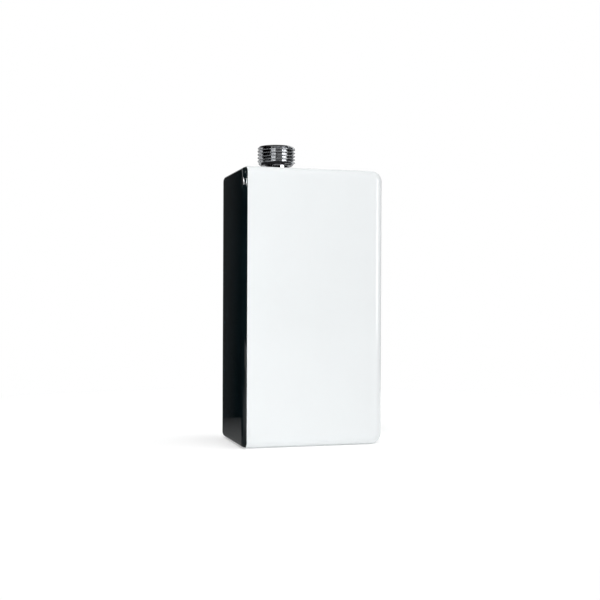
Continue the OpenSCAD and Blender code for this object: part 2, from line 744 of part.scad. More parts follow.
module diaphragm() {
    fold_r = chamber_bore_d / 2 - fold_in;
    color(rubber_black) difference() {
        union() {
            rod_x(diaphragm_x0, diaphragm_x1, 0, flow_z, diaphragm_d);
            translate([diaphragm_x0, 0, flow_z]) rotate([0, 90, 0]) rotate_extrude()
                translate([fold_r, 0]) circle(r = diaphragm_t);
        }
        translate([diaphragm_x1, 0, flow_z]) rotate([0, 90, 0]) rotate_extrude()
            translate([fold_r, 0]) circle(r = diaphragm_t / 2);
        cap_screw_holes(diaphragm_x0 - over, diaphragm_x1 + over, cap_screw_d + 2 * shank_gap);
    }
}

module flow_plunger() {
    color(ceramic_white) {
        rod_x(plate_x0, plate_x1, 0, flow_z, plate_d);
        rod_x(plate_x1 - plate_t / 2, rod_tip_x, 0, flow_z, rod_d);
    }
}

// One unbroken helical tube along X, in rings of wire_sides points
module plunger_spring() {
    wire_sides = 6;
    ring_steps = 12;
    wire_r = spring_wire_d / 2;
    x0 = plate_x1 + wire_r + run_gap;
    x1 = cap_in_x - wire_r - run_gap;
    rings = spring_turns * ring_steps;
    points = [for (i = [0 : rings], k = [0 : wire_sides - 1])
        let (turn = 360 * i / ring_steps, b = 360 * k / wire_sides, r = spring_d / 2 + wire_r * cos(b))
        [x0 + (x1 - x0) * i / rings + wire_r * sin(b), r * cos(turn), flow_z + r * sin(turn)]];
    next_turn = ring_steps * wire_sides;
    echo(spring_gap = min([for (i = [0 : len(points) - next_turn - 1])
        norm(points[i + next_turn] - points[i])]) - spring_wire_d);
    last = rings * wire_sides;
    sides = [for (i = [0 : rings - 1], k = [0 : wire_sides - 1])
        let (a = i * wire_sides, n = (k + 1) % wire_sides, b = a + wire_sides)
        each [[a + k, a + n, b + n], [a + k, b + n, b + k]]];
    ends = [for (k = [1 : wire_sides - 2]) each [[0, k + 1, k], [last, last + k, last + k + 1]]];
    color(steel_tone) polyhedron(points, concat(sides, ends));
}

module flow_switch_cap() {
    color(grey_plastic) difference() {
        union() {
            rod_x(diaphragm_x1, cap_x1, 0, flow_z, diaphragm_d);
            rod_x(cap_x1 - over, guide_x1, 0, flow_z, guide_d);
        }
        rod_x(diaphragm_x1 - over, cap_in_x, 0, flow_z, chamber_bore_d);
        rod_x(cap_in_x - over, guide_x1 + over, 0, flow_z, rod_d + 2 * run_gap);
        cap_screw_holes(diaphragm_x1 - over, cap_x1 + over, cap_screw_d + 2 * shank_gap);
    }
}

module cap_screws() {
    head_x0 = cap_x1 + bracket_t;
    color(steel_tone) {
        cap_screw_holes(diaphragm_x0 - cap_screw_in, head_x0, cap_screw_d);
        cap_screw_holes(head_x0, head_x0 + small_head_h, cap_head_d);
    }
}

// Folded sheet: a base under the cap screws and two cheeks that hold the microswitch
module switch_bracket() {
    base_half = cap_screw_r * cos(45) + cap_head_d / 2 + over;
    cheek_z0 = switch_pin_low - switch_pin_d;
    cheek_z1 = switch_pin_low + switch_pin_pitch + switch_pin_d;
    color(bright_metal) difference() {
        union() {
            box(cap_x1, cap_x1 + bracket_t, -base_half, base_half, flow_z - base_half, flow_z + base_half);
            for (side = [-1, 1]) {
                y0 = side > 0 ? side_y : -side_y - bracket_t;
                box(cap_x1, switch_pin_x + switch_pin_d, y0, y0 + bracket_t, cheek_z0, cheek_z1);
            }
        }
        rod_x(cap_x1 - over, cap_x1 + bracket_t + over, 0, flow_z, guide_d + 2 * fit_gap);
        cap_screw_holes(cap_x1 - over, cap_x1 + bracket_t + over, cap_screw_d + 2 * shank_gap);
        switch_pin_rods(2 * run_gap, over);
    }
}

// The two pins through the bracket's cheeks and the switch, with a gap on their diameter
module switch_pin_rods(gap, extra) {
    reach = side_y + bracket_t + extra;
    for (i = [0, 1])
        rod_y(-reach, reach, switch_pin_x, switch_pin_low + i * switch_pin_pitch, switch_pin_d + gap);
}

module switch_pins() {
    head_d = switch_pin_d + 2 * pin_head_w;
    color(steel_tone) {
        switch_pin_rods(0, pin_head_t);
        for (i = [0, 1], side = [-1, 1]) {
            y0 = side > 0 ? side_y + bracket_t : -side_y - bracket_t - pin_head_t;
            rod_y(y0, y0 + pin_head_t, switch_pin_x, switch_pin_low + i * switch_pin_pitch, head_d);
        }
    }
}

module microswitch_case() {
    color(switch_black) difference() {
        box(case_x0, case_x1, -switch_t / 2, switch_t / 2, case_z0, case_z1);
        rod_x(case_x0 - over, button_hole_x1, 0, flow_z, switch_button_d + 2 * run_gap);
        switch_pin_rods(2 * run_gap, over);
    }
}

module microswitch_button() {
    color(red_plastic) rod_x(button_x0, case_x0 + button_stem, 0, flow_z, switch_button_d);
}

module microswitch_tabs() {
    color(brass_tone) for (x = switch_tab_x)
        box(x - tab_w / 2, x + tab_w / 2, -tab_t / 2, tab_t / 2, case_z1, case_z1 + switch_tab_len);
}

module chamber_vessel() {
    color(copper_tone) difference() {
        union() {
            rod_z(vessel_spigot_z0 + fit_gap, vessel_z0 + vessel_floor, axis_x, 0, vessel_spigot_d);
            rod_z(vessel_z0, lid_z0, axis_x, 0, vessel_d);
            rod_z(lid_z0 - flange_t, lid_z0, axis_x, 0, flange_d);
            rod_x(axis_x, pad_x, 0, cutout_z, cutout_d + over);
            for (s = [-1, 1]) rod_x(axis_x, cutout_cap_x1, s * cutout_screw_at, cutout_z, bracket_boss_d);
            rod_x(axis_x, earth_boss_x, 0, earth_z, earth_lug_d);
        }
        rod_z(vessel_z0 + vessel_floor, lid_z0 + over, axis_x, 0, 2 * vessel_in_r);
        rod_z(vessel_spigot_z0 - over, vessel_z0 + vessel_floor + over, axis_x, 0, water_bore_d);
        o_ring_groove(vessel_groove_z, vessel_spigot_d);
        water_ring(lid_z0 - o_ring_d - run_gap, lid_z0 + over, chamber_seal_d + o_ring_d + 2 * run_gap,
            chamber_seal_d - o_ring_d - 2 * run_gap);
        lid_screw_rods(lid_z0 - flange_t - over, lid_z0 + over, lid_screw_d);
        for (s = [-1, 1])
            rod_x(cutout_cap_x1 - bracket_screw_in - fit_gap, cutout_cap_x1 + over, s * cutout_screw_at,
                cutout_z, bracket_screw_d);
        rod_x(earth_boss_x - earth_screw_in - fit_gap, earth_boss_x + over, 0, earth_z, earth_shank_d);
    }
}

module lid_screw_rods(z0, z1, d) {
    for (a = [0 : 90 : 270])
        rod_z(z0, z1, axis_x + lid_screw_circle / 2 * cos(a), lid_screw_circle / 2 * sin(a), d);
}

module leg_rods(z0, z1, d) {
    for (x = [-1, 1], y = [-1, 1]) rod_z(z0, z1, axis_x + x * leg_xy, y * leg_xy, d);
}

module chamber_lid() {
    color(steel_tone) difference() {
        rod_z(lid_z0, lid_z1, axis_x, 0, flange_d);
        rod_z(nipple_z0, lid_z1 + over, axis_x, 0, neck_d + 2 * run_gap);
        rod_z(lid_z0 - over, nipple_z0 + over, axis_x, 0, water_bore_d);
        leg_rods(lid_z0 - over, lid_z1 + over, element_d + 2 * run_gap);
        lid_screw_rods(lid_z0 - over, lid_z1 + over, lid_screw_d + 2 * shank_gap);
    }
}

module chamber_seal() {
    color(rubber_black) o_ring(lid_z0 - o_ring_d / 2 - run_gap / 2, chamber_seal_d / 2);
}

module lid_screws() {
    color(steel_tone) {
        lid_screw_rods(lid_z0 - flange_t, lid_z1, lid_screw_d);
        lid_screw_rods(lid_z1, lid_z1 + small_head_h, lid_head_d);
    }
}

module vessel_o_ring() {
    color(rubber_black) spigot_o_ring(vessel_groove_z, vessel_spigot_d);
}

// Hairpin of two upright legs and a half-round bend below
module hairpin(x) {
    color(steel_tone) {
        for (y = [-1, 1]) rod_z(bend_z, leg_z1, x, y * leg_xy, element_d);
        translate([x, 0, bend_z]) rotate([0, 90, 0]) rotate([0, 0, -90]) rotate_extrude(angle = 180)
            translate([leg_xy, 0]) circle(d = element_d);
    }
}

module left_element() {
    hairpin(axis_x - leg_xy);
}

module right_element() {
    hairpin(right_leg_x);
}

module element_bushings() {
    color(brass_tone) difference() {
        for (x = [-1, 1], y = [-1, 1]) translate([axis_x + x * leg_xy, y * leg_xy, lid_z1])
            rotate([0, 0, atan2(y, x) + 30]) cylinder(h = bushing_h, d = bushing_flats / cos(30), $fn = 6);
        leg_rods(lid_z1 - over, lid_z1 + bushing_h + over, element_d + 2 * run_gap);
    }
}

module element_insulators() {
    color(ceramic_white) difference() {
        leg_rods(leg_z1, insulator_z1, insulator_d);
        leg_rods(leg_z1 - over, insulator_z1 + over, terminal_pin_d + 2 * run_gap);
    }
}

module element_terminals() {
    color(bright_metal) {
        leg_rods(leg_z1, insulator_z1 + tab_t, terminal_pin_d);
        for (x = [-1, 1], y = [-1, 1]) translate([axis_x + x * leg_xy, y * leg_xy, insulator_z1])
            box(-tab_w / 2, tab_w / 2, -tab_t / 2, tab_t / 2, 0, terminal_tab_len);
    }
}

// Two strips that join the front terminals and the rear terminals
module element_links() {
    reach = leg_xy + tab_w / 2;
    color(brass_tone) for (side = [-1, 1]) {
        y0 = side > 0 ? link_y : -link_y - tab_t;
        box(axis_x - reach, axis_x + reach, y0, y0 + tab_t, link_z0, link_z0 + link_h);
    }
}

module cutout_cap() {
    color(bright_metal) rod_x(pad_x, cutout_cap_x1, 0, cutout_z, cutout_d);
}

module cutout_bracket() {
    half_len = cutout_screw_at + bracket_boss_d / 2;
    color(bright_metal) difference() {
        union() {
            rod_x(cutout_cap_x1, cutout_bracket_x1, 0, cutout_z, cutout_d);
            along_x(cutout_cap_x1, cutout_bracket_x1) translate([0, cutout_z])
                rounded_rect(2 * half_len, bracket_boss_d, bracket_boss_d / 2 - run_gap);
        }
        for (s = [-1, 1])
            rod_x(cutout_cap_x1 - over, cutout_bracket_x1 + over, s * cutout_screw_at, cutout_z,
                bracket_screw_d + 2 * shank_gap);
    }
}

module cutout_screws() {
    color(steel_tone) for (s = [-1, 1]) {
        y = s * cutout_screw_at;
        rod_x(cutout_cap_x1 - bracket_screw_in, cutout_bracket_x1, y, cutout_z, bracket_screw_d);
        rod_x(cutout_bracket_x1, cutout_bracket_x1 + small_head_h, y, cutout_z, 2 * bracket_screw_d);
    }
}

module cutout_case() {
    color(switch_black) difference() {
        rod_x(cutout_bracket_x1, cutout_x1, 0, cutout_z, cutout_d - 2 * fit_gap);
        rod_x(cutout_x1 - reset_hole_len, cutout_x1 + over, 0, cutout_z, reset_d + 2 * run_gap);
    }
}

module cutout_button() {
    color(red_plastic) rod_x(cutout_x1 - reset_stem, cutout_x1 + reset_out, 0, cutout_z, reset_d);
}

module cutout_tabs() {
    color(brass_tone) for (side = [-1, 1]) {
        y0 = side > 0 ? cutout_tab_y0 : -cutout_tab_y1;
        box(cutout_x1, cutout_x1 + tab_t, y0, y0 + cutout_tab_y1 - cutout_tab_y0,
            cutout_z - tab_w / 2, cutout_z + tab_w / 2);
    }
}

module terminal_block() {
    color(ceramic_white) difference() {
        box(block_x0, block_x1, -block_depth / 2, block_depth / 2, block_z0, block_z1);
        for (z = pole_z) {
            rod_y(-block_depth, block_depth, entry_x, z, entry_d);
            for (s = [-1, 1])
                rod_x(block_x0 - over, entry_x, s * terminal_screw_pitch / 2, z,
                    terminal_screw_d + 2 * shank_gap);
        }
        for (z = block_screw_z) {
            rod_x(block_x0 - over, block_x1 + over, 0, z, lid_screw_d + 2 * shank_gap);
            rod_x(block_x0 - over, block_x0 + small_head_h, 0, z, lid_head_d + 2 * shank_gap);
        }
    }
}

module terminal_screws() {
    head_x0 = block_x0 + terminal_sink;
    color(steel_tone) for (z = pole_z, s = [-1, 1]) difference() {
        rod_x(head_x0, terminal_tip_x, s * terminal_screw_pitch / 2, z, terminal_screw_d);
        translate([head_x0, s * terminal_screw_pitch / 2, z])
            cube([2 * slot_w, terminal_screw_d + over, slot_w], center = true);
    }
}

module block_screws() {
    color(steel_tone) for (z = block_screw_z) {
        rod_x(block_x0 + small_head_h, block_x1 + block_screw_in, 0, z, lid_screw_d);
        rod_x(block_x0, block_x0 + small_head_h, 0, z, lid_head_d);
    }
}

module earth_lug() {
    color(bright_metal) difference() {
        union() {
            rod_x(earth_boss_x, earth_boss_x + earth_lug_t, 0, earth_z, earth_lug_d);
            box(earth_boss_x, earth_boss_x + earth_lug_t, -earth_tail, 0,
                earth_z - earth_tail_w / 2, earth_z + earth_tail_w / 2);
        }
        rod_x(earth_boss_x - over, earth_boss_x + earth_lug_t + over, 0, earth_z,
            earth_shank_d + 2 * shank_gap);
    }
}

module earth_screw() {
    head_x0 = earth_boss_x + earth_lug_t;
    color(brass_tone) {
        rod_x(earth_boss_x - earth_screw_in, head_x0, 0, earth_z, earth_shank_d);
        rod_x(head_x0, head_x0 + small_head_h, 0, earth_z, (earth_shank_d + earth_lug_d) / 2);
    }
}

module cable_grommet() {
    color(rubber_black) difference() {
        union() {
            rod_y(half_d - cable_recess, half_d, cable_x, block_z, cable_flange_d);
            rod_y(back_in_y, half_d - cable_recess, cable_x, block_z, cable_hole_d);
            rod_y(back_in_y - grommet_lip, back_in_y, cable_x, block_z, cable_flange_d);
            rod_y(back_in_y - cable_sleeve, back_in_y, cable_x, block_z, cable_d + 2 * cable_sleeve_wall);
        }
        rod_y(back_in_y - cable_sleeve - over, half_d + over, cable_x, block_z, cable_d);
    }
}

// Square-cornered route of a lead, rounded at every corner
function unit(v) = v / norm(v);

module lead(points) {
    last = len(points) - 1;
    for (i = [0 : last - 1]) {
        u = unit(points[i + 1] - points[i]);
        start = points[i] + (i > 0 ? lead_bend_r : 0) * u;
        end = points[i + 1] - (i + 1 < last ? lead_bend_r : 0) * u;
        p = [u.y, u.z, u.x];
        placed(p, cross(u, p), u, start) cylinder(h = norm(end - start), d = lead_d);
    }
    for (i = [1 : last - 1]) {
        u = unit(points[i] - points[i - 1]);
        v = unit(points[i + 1] - points[i]);
        placed(-v, u, cross(u, v), points[i] + lead_bend_r * (v - u)) rotate_extrude(angle = 90)
            translate([lead_bend_r, 0]) circle(d = lead_d);
    }
}

// Turns X, Y and Z to the directions p, q and r and moves the origin to a point
module placed(p, q, r, at) {
    multmatrix([[p.x, q.x, r.x, at.x], [p.y, q.y, r.y, at.y], [p.z, q.z, r.z, at.z], [0, 0, 0, 1]])
        children();
}

module live_lead() {
    color(brown_lead) lead([
        [entry_x, lead_start_y, pole_z[2]],
        [entry_x, -row_y, pole_z[2]],
        [entry_x, -row_y, cutout_z],
        [entry_x, -tab_end_y, cutout_z]
    ]);
}

module cutout_lead() {
    x = switch_tab_x[1];
    color(brown_lead) lead([
        [cutout_tab_x, tab_end_y, cutout_z],
        [cutout_tab_x, row_y, cutout_z],
        [x, row_y, cutout_z],
        [x, row_y, over_switch_z],
        [x, 0, over_switch_z],
        [x, 0, case_z1 + switch_tab_len + end_gap]
    ]);
}

module switched_lead() {
    x = switch_tab_x[0];
    color(brown_lead) lead([
        [x, 0, case_z1 + switch_tab_len + end_gap],
        [x, 0, over_switch_z],
        [x, -far_row_y, over_switch_z],
        [x, -far_row_y, link_lead_z],
        [right_leg_x, -far_row_y, link_lead_z],
        [right_leg_x, -link_end_y, link_lead_z]
    ]);
}

module neutral_lead() {
    color(blue_lead) lead([
        [entry_x, lead_start_y, pole_z[1]],
        [entry_x, -row_y, pole_z[1]],
        [earth_lug_x, -row_y, pole_z[1]],
        [earth_lug_x, -row_y, link_lead_z],
        [earth_lug_x, row_y, link_lead_z],
        [right_leg_x, row_y, link_lead_z],
        [right_leg_x, link_end_y, link_lead_z]
    ]);
}

module earth_lead() {
    color(green_lead) lead([
        [entry_x, lead_start_y, pole_z[0]],
        [entry_x, -row_y, pole_z[0]],
        [earth_lug_x, -row_y, pole_z[0]],
        [earth_lug_x, -row_y, earth_z],
        [earth_lug_x, -earth_tail - end_gap, earth_z]
    ]);
}

housing_shell();
end_cover();
cover_gasket();
cover_screws();
outlet_nipple();
outlet_grommet();
inlet_socket();
inlet_seal();
inlet_strainer();
flow_limiter();
inlet_o_ring();
flow_switch_body();
diaphragm();
flow_plunger();
plunger_spring();
flow_switch_cap();
cap_screws();
switch_bracket();
switch_pins();
microswitch_case();
microswitch_button();
microswitch_tabs();
chamber_vessel();
chamber_lid();
chamber_seal();
lid_screws();
vessel_o_ring();
left_element();
right_element();
element_bushings();
element_insulators();
element_terminals();
element_links();
cutout_cap();
cutout_bracket();
cutout_screws();
cutout_case();
cutout_button();
cutout_tabs();
terminal_block();
terminal_screws();
block_screws();
earth_lug();
earth_screw();
cable_grommet();
live_lead();
cutout_lead();
switched_lead();
neutral_lead();
earth_lead();
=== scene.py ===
import json
import math

import bmesh
import bpy
from bpy.props import FloatProperty, FloatVectorProperty, IntProperty, PointerProperty
from mathutils import Matrix, Vector
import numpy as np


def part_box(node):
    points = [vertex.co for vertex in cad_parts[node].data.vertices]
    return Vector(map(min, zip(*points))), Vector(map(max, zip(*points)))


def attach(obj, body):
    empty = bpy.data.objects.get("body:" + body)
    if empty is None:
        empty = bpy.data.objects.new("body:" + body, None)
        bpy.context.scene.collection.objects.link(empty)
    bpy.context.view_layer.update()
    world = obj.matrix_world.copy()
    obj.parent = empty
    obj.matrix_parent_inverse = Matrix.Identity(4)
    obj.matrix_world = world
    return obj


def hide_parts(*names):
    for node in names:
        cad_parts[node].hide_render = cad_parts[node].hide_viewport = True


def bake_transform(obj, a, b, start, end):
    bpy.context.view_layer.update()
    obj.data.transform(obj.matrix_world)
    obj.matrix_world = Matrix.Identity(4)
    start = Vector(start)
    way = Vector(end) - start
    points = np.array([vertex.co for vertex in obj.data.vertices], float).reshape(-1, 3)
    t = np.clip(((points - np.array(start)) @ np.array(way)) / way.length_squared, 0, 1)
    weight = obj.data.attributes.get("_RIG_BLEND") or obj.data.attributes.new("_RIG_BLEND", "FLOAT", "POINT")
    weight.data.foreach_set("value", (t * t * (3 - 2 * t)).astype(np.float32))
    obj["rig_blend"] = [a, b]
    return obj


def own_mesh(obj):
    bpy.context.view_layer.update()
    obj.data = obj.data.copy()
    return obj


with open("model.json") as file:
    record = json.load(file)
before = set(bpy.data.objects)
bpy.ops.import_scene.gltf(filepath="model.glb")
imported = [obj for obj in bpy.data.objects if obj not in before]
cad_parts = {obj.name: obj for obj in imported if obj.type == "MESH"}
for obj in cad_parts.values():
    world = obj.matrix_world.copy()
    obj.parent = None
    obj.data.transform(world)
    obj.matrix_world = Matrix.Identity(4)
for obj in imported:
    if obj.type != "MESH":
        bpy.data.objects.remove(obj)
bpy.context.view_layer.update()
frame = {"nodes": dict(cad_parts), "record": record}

bl_info = {
    "name": "Instant water heater",
    "version": (1, 0, 0),
    "blender": (4, 5, 0),
    "location": "3D View > Sidebar > Heater",
    "description": "Models an in-line instant electric water heater over its CAD frame, with its studio stage",
    "category": "Object",
}

SHELL_LOW, SHELL_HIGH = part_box("housing_shell")
COVER_LOW, COVER_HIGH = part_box("end_cover")
NIPPLE_LOW, NIPPLE_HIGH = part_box("outlet_nipple")
SOCKET_LOW, SOCKET_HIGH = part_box("inlet_socket")
GROMMET_LOW, GROMMET_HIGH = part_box("outlet_grommet")
CABLE_LOW, CABLE_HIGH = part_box("cable_grommet")
SCREWS_LOW, SCREWS_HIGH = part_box("cover_screws")
BLOCK_LOW, BLOCK_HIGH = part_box("terminal_block")
SPRING_LOW, SPRING_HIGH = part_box("plunger_spring")
SHEET_LOW, SHEET_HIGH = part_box("diaphragm")

# Where things line up
AXIS_X = (NIPPLE_LOW.x + NIPPLE_HIGH.x) / 2
CABLE_X = (CABLE_LOW.x + CABLE_HIGH.x) / 2
CABLE_Z = (CABLE_LOW.z + CABLE_HIGH.z) / 2
SCREW_X = (SCREWS_LOW.x + SCREWS_HIGH.x) / 2
HEAD_R = (SCREWS_HIGH.x - SCREWS_LOW.x) / 2
SCREW_HEIGHTS = (SCREWS_LOW.z + HEAD_R, SCREWS_HIGH.z - HEAD_R)

FULL_TURN = 2 * math.pi
QUARTER_TURN = math.pi / 2
WELD = 1e-7
SAME_PLACE = 1e-5
OVERCUT = 0.001


def length(name, description, default):
    return FloatProperty(name=name, description=description, default=default, unit="LENGTH", precision=5)


def tint(name, description, default):
    return FloatVectorProperty(
        name=name, description=description, default=default, subtype="COLOR", min=0, max=1)


def angle(name, description, degrees):
    return FloatProperty(name=name, description=description, default=math.radians(degrees), subtype="ANGLE")


def power(name, description, default):
    return FloatProperty(name=name, description=description, default=default, subtype="POWER")


def level(name, description, default, **limits):
    return FloatProperty(name=name, description=description, default=default, min=0, **limits)


class HeaterSizes(bpy.types.PropertyGroup):
    wall: length("Wall", "Wall thickness of the white housing", 0.0025)
    long_edge: length("Long edge", "Rounding of the housing's long edges", 0.004)
    end_edge: length("End edge", "Rounding of the closed end's upright edges", 0.0045)
    end_corner: length("End corner", "Corner radius of the closed end, seen from the front", 0.006)
    mouth_edge: length("Mouth edge", "Rounding of the housing's mouth", 0.0003)
    outlet_hole: length("Outlet hole", "Radius of the outlet's hole in the housing", 0.01065)
    inlet_hole: length("Inlet hole", "Radius of the inlet's hole in the housing", 0.0132)
    cable_hole: length("Cable hole", "Radius of the cable grommet's hole in the housing", 0.00655)
    cable_recess: length("Cable recess", "Radius of the recess round the cable's hole", 0.0085)
    screw_hole: length("Screw hole", "Radius of the cover screws' holes", 0.00145)
    screw_recess: length("Screw recess", "Radius of the recess for a cover screw's head", 0.003)
    cover_edge: length("Cover edge", "Rounding of the black cover's outer edge", 0.0022)
    cover_inset: length("Cover inset", "How far the cover's outline lies inside the housing's", 0.0005)
    spigot: length("Spigot", "How far the cover's spigot reaches into the housing", 0.005)
    spigot_wall: length("Spigot wall", "Wall thickness of the cover's spigot", 0.0018)
    groove_from: length("Groove start", "Where the gasket's groove starts, from the housing's mouth", 0.0012)
    groove_to: length("Groove end", "Where the gasket's groove ends, from the housing's mouth", 0.0026)
    groove_depth: length("Groove depth", "Depth of the gasket's groove", 0.0012)
    fit_gap: length("Fit gap", "Gap round pieces that slot together", 0.0002)
    thread_pitch: length("Thread pitch", "Pitch of both pipe threads", 0.001814)
    thread_depth: length("Thread depth", "Depth of both pipe threads", 0.001162)
    thread_chamfer: length("Thread chamfer", "Chamfer at the top of the outlet's thread", 0.001)
    thread_run_out: length("Thread run-out", "Slope under the outlet's last turn of thread", 0.0017)
    thread_length: length("Thread length", "Length of the outlet's thread", 0.0106)
    neck: length("Neck diameter", "Diameter of the nipple's neck", 0.014)
    bore: length("Bore", "Bore of the outlet nipple", 0.011)
    inlet_crest: length("Inlet crest", "Crest diameter of the inlet's thread", 0.018631)
    inlet_depth: length("Inlet depth", "Length of the inlet's thread", 0.013)
    inlet_lead_in: length("Inlet lead-in", "Chamfer at the mouth of the inlet's thread", 0.0013)
    cable: length("Cable", "Bore of the cable grommet", 0.008)
    spring_wire: length("Spring wire", "Diameter of the plunger spring's wire", 0.0006)
    spring_turns: IntProperty(
        name="Spring turns", description="Turns of the plunger's spring", default=3, min=1)
    sheet: length("Diaphragm", "Thickness of the diaphragm", 0.001)
    sheet_fold: length("Diaphragm fold", "Diameter of the diaphragm's round fold", 0.019)
    sheet_plate: length("Diaphragm middle", "Diameter of the part that the plunger carries", 0.0152)
    sheet_free: length("Diaphragm free", "Diameter inside which the diaphragm can give", 0.0236)
    sheet_screws: length("Diaphragm screws", "Diameter of the circle of holes in the rim", 0.0275)
    sheet_hole: length("Diaphragm hole", "Diameter of the screw holes in the rim", 0.0024)
    round_steps: IntProperty(
        name="Round steps", description="Faces round a turned piece", default=128, min=24)


class HeaterFinishes(bpy.types.PropertyGroup):
    housing_white: tint("Housing", "White moulded plastic", (0.880, 0.908, 0.917))
    cover_black: tint("Cover", "Black gloss plastic", (0.0026, 0.0056, 0.0070))
    nipple_metal: tint("Nipple", "Bright plated metal", (0.56, 0.57, 0.585))
    rubber_black: tint("Rubber", "Black rubber", (0.022, 0.022, 0.024))
    steel: tint("Steel", "Plain steel", (0.56, 0.57, 0.59))
    plated_steel: tint("Plated sheet", "Tin-plated sheet", (0.66, 0.67, 0.69))
    aluminium: tint("Aluminium", "Drawn aluminium", (0.74, 0.75, 0.77))
    brass: tint("Brass", "Machined brass", (0.74, 0.56, 0.24))
    copper: tint("Copper", "Copper tube", (0.72, 0.38, 0.22))
    grey_plastic: tint("Grey plastic", "Glass-filled plastic", (0.40, 0.42, 0.44))
    natural_plastic: tint("Natural plastic", "Undyed plastic", (0.80, 0.77, 0.68))
    ceramic: tint("Ceramic", "Steatite", (0.85, 0.82, 0.75))
    switch_black: tint("Switch case", "Black thermoset", (0.032, 0.034, 0.037))
    red_plastic: tint("Buttons", "Red plastic", (0.55, 0.055, 0.04))
    brown_lead: tint("Live leads", "Brown insulation", (0.19, 0.085, 0.035))
    blue_lead: tint("Neutral lead", "Blue insulation", (0.045, 0.14, 0.42))
    green_lead: tint("Earth lead", "Green insulation", (0.10, 0.32, 0.05))
    earth_yellow: tint("Earth stripe", "Yellow stripe of the earth lead", (0.80, 0.62, 0.05))


class HeaterStage(bpy.types.PropertyGroup):
    camera_place: FloatVectorProperty(
        name="Camera place", description="Where the camera stands", default=(-0.16218, -0.55537, 0.07892),
        subtype="TRANSLATION")
    camera_turn: angle("Camera turn", "How far the camera turns to the right", 16.241)
    camera_tilt: angle("Camera tilt", "How far the camera leans sideways", 0.223)
    lens: FloatProperty(name="Lens", description="Focal length in millimetres", default=61.75, min=1)
    ambient: level("Ambient", "Strength of the light from all round", 0.205)
    left_lamp: power("Left lamp", "Power of the left soft box", 2.1)
    right_lamp: power("Right lamp", "Power of the right soft box", 3.3)
    rear_lamp: power("Rear lamp", "Power of the soft box behind", 5.0)
    top_lamp: power("Top lamp", "Power of the soft box overhead", 5.5)
    left_strip: power("Left strip", "Power of the strip light at the left", 0.33)
    front_strip: power("Front strip", "Power of the strip light in front", 0.3)
    left_card: level("Left card", "Brightness of the left card in mirrors", 4.6)
    right_card: level("Right card", "Brightness of the right card in mirrors", 5.6)
    floor_glow: level("Floor glow", "How much of the floor's white shows without light", 0.3, max=1)
    floor_bounce: level("Floor bounce", "How much of that white lights the heater", 0.13, max=1)


def sizes():
    return bpy.context.scene.heater_sizes


def finishes():
    return bpy.context.scene.heater_finishes


def stage_settings():
    return bpy.context.scene.heater_stage


# Modelling steps

def clear_selection():
    if bpy.context.object and bpy.context.object.mode != "OBJECT":
        bpy.ops.object.mode_set(mode="OBJECT")
    bpy.ops.object.select_all(action="DESELECT")


def make_active(piece):
    clear_selection()
    piece.select_set(True)
    bpy.context.view_layer.objects.active = piece


def take(name):
    """Names the primitive that was just added and puts its place and scale into its mesh."""
    piece = bpy.context.object
    piece.name = piece.data.name = name
    bpy.ops.object.transform_apply(location=True, rotation=True, scale=True)
    return piece


def add_block(name, low, high):
    clear_selection()
    low, high = Vector(low), Vector(high)
    bpy.ops.mesh.primitive_cube_add(size=1, location=(low + high) / 2, scale=high - low)
    return take(name)


def add_rod(name, start, end, radius, sides=96):
    clear_selection()
    start, end = Vector(start), Vector(end)
    turn = (end - start).to_track_quat("Z", "Y").to_euler()
    bpy.ops.mesh.primitive_cylinder_add(
        vertices=sides, radius=radius, depth=(end - start).length, location=(start + end) / 2, rotation=turn)
    return take(name)


def add_ring(name, corners, place, radius=0.01):
    """A bare ring of corners whose origin stays at its place."""
    clear_selection()
    bpy.ops.mesh.primitive_circle_add(vertices=corners, radius=radius, fill_type="NOTHING", location=place)
    ring = bpy.context.object
    ring.name = ring.data.name = name
    return ring


def edit(piece):
    if bpy.context.object != piece or piece.mode != "EDIT":
        make_active(piece)
        bpy.ops.object.mode_set(mode="EDIT")
    return bmesh.from_edit_mesh(piece.data)


def pick(piece, kind, test):
    """Selects the edges or faces that pass a test of their place or normal."""
    edit(piece)
    bpy.ops.mesh.select_mode(type=kind)
    bpy.ops.mesh.select_all(action="DESELECT")
    mesh = bmesh.from_edit_mesh(piece.data)
    found = [element for element in (mesh.edges if kind == "EDGE" else mesh.faces) if test(element)]
    if not found:
        raise RuntimeError(f"nothing to select on {piece.name}")
    for element in found:
        element.select_set(True)
    mesh.select_flush_mode()
    bmesh.update_edit_mesh(piece.data)


def select_all():
    bpy.ops.mesh.select_all(action="SELECT")


def merge_doubles():
    select_all()
    bpy.ops.mesh.remove_doubles(threshold=WELD)


def face_outwards():
    select_all()
    bpy.ops.mesh.normals_make_consistent(inside=False)


def round_edges(offset, segments):
    bpy.ops.mesh.bevel(offset=offset, segments=segments, profile=0.5, affect="EDGES", clamp_overlap=False)


def extrude(along_x):
    bpy.ops.mesh.extrude_region_move(TRANSFORM_OT_translate={"value": (along_x, 0, 0)})


def facing(axis, sign):
    return lambda face: face.normal[axis] * sign > 0.9


def faces_out(face):
    """True for a face that looks away from the housing's middle."""
    return face.normal.dot(face.calc_center_median() - Vector((0, 0, SHELL_HIGH.z / 2))) > 0


def near(a, b):
    return abs(a - b) < SAME_PLACE


def edge_at(edge, axis, value):
    return all(near(v.co[axis], value) for v in edge.verts)


def edge_along(edge, axis):
    step = edge.verts[1].co - edge.verts[0].co
    return abs(step[axis]) > 0.999 * step.length


def join(piece, others):
    make_active(piece)
    for other in others:
        other.select_set(True)
    bpy.ops.object.join()
    return piece


def apply_modifier(piece, kind, **settings):
    make_active(piece)
    modifier = piece.modifiers.new(kind.title(), kind)
    for key, value in settings.items():
        setattr(modifier, key, value)
    bpy.ops.object.modifier_apply(modifier=modifier.name)


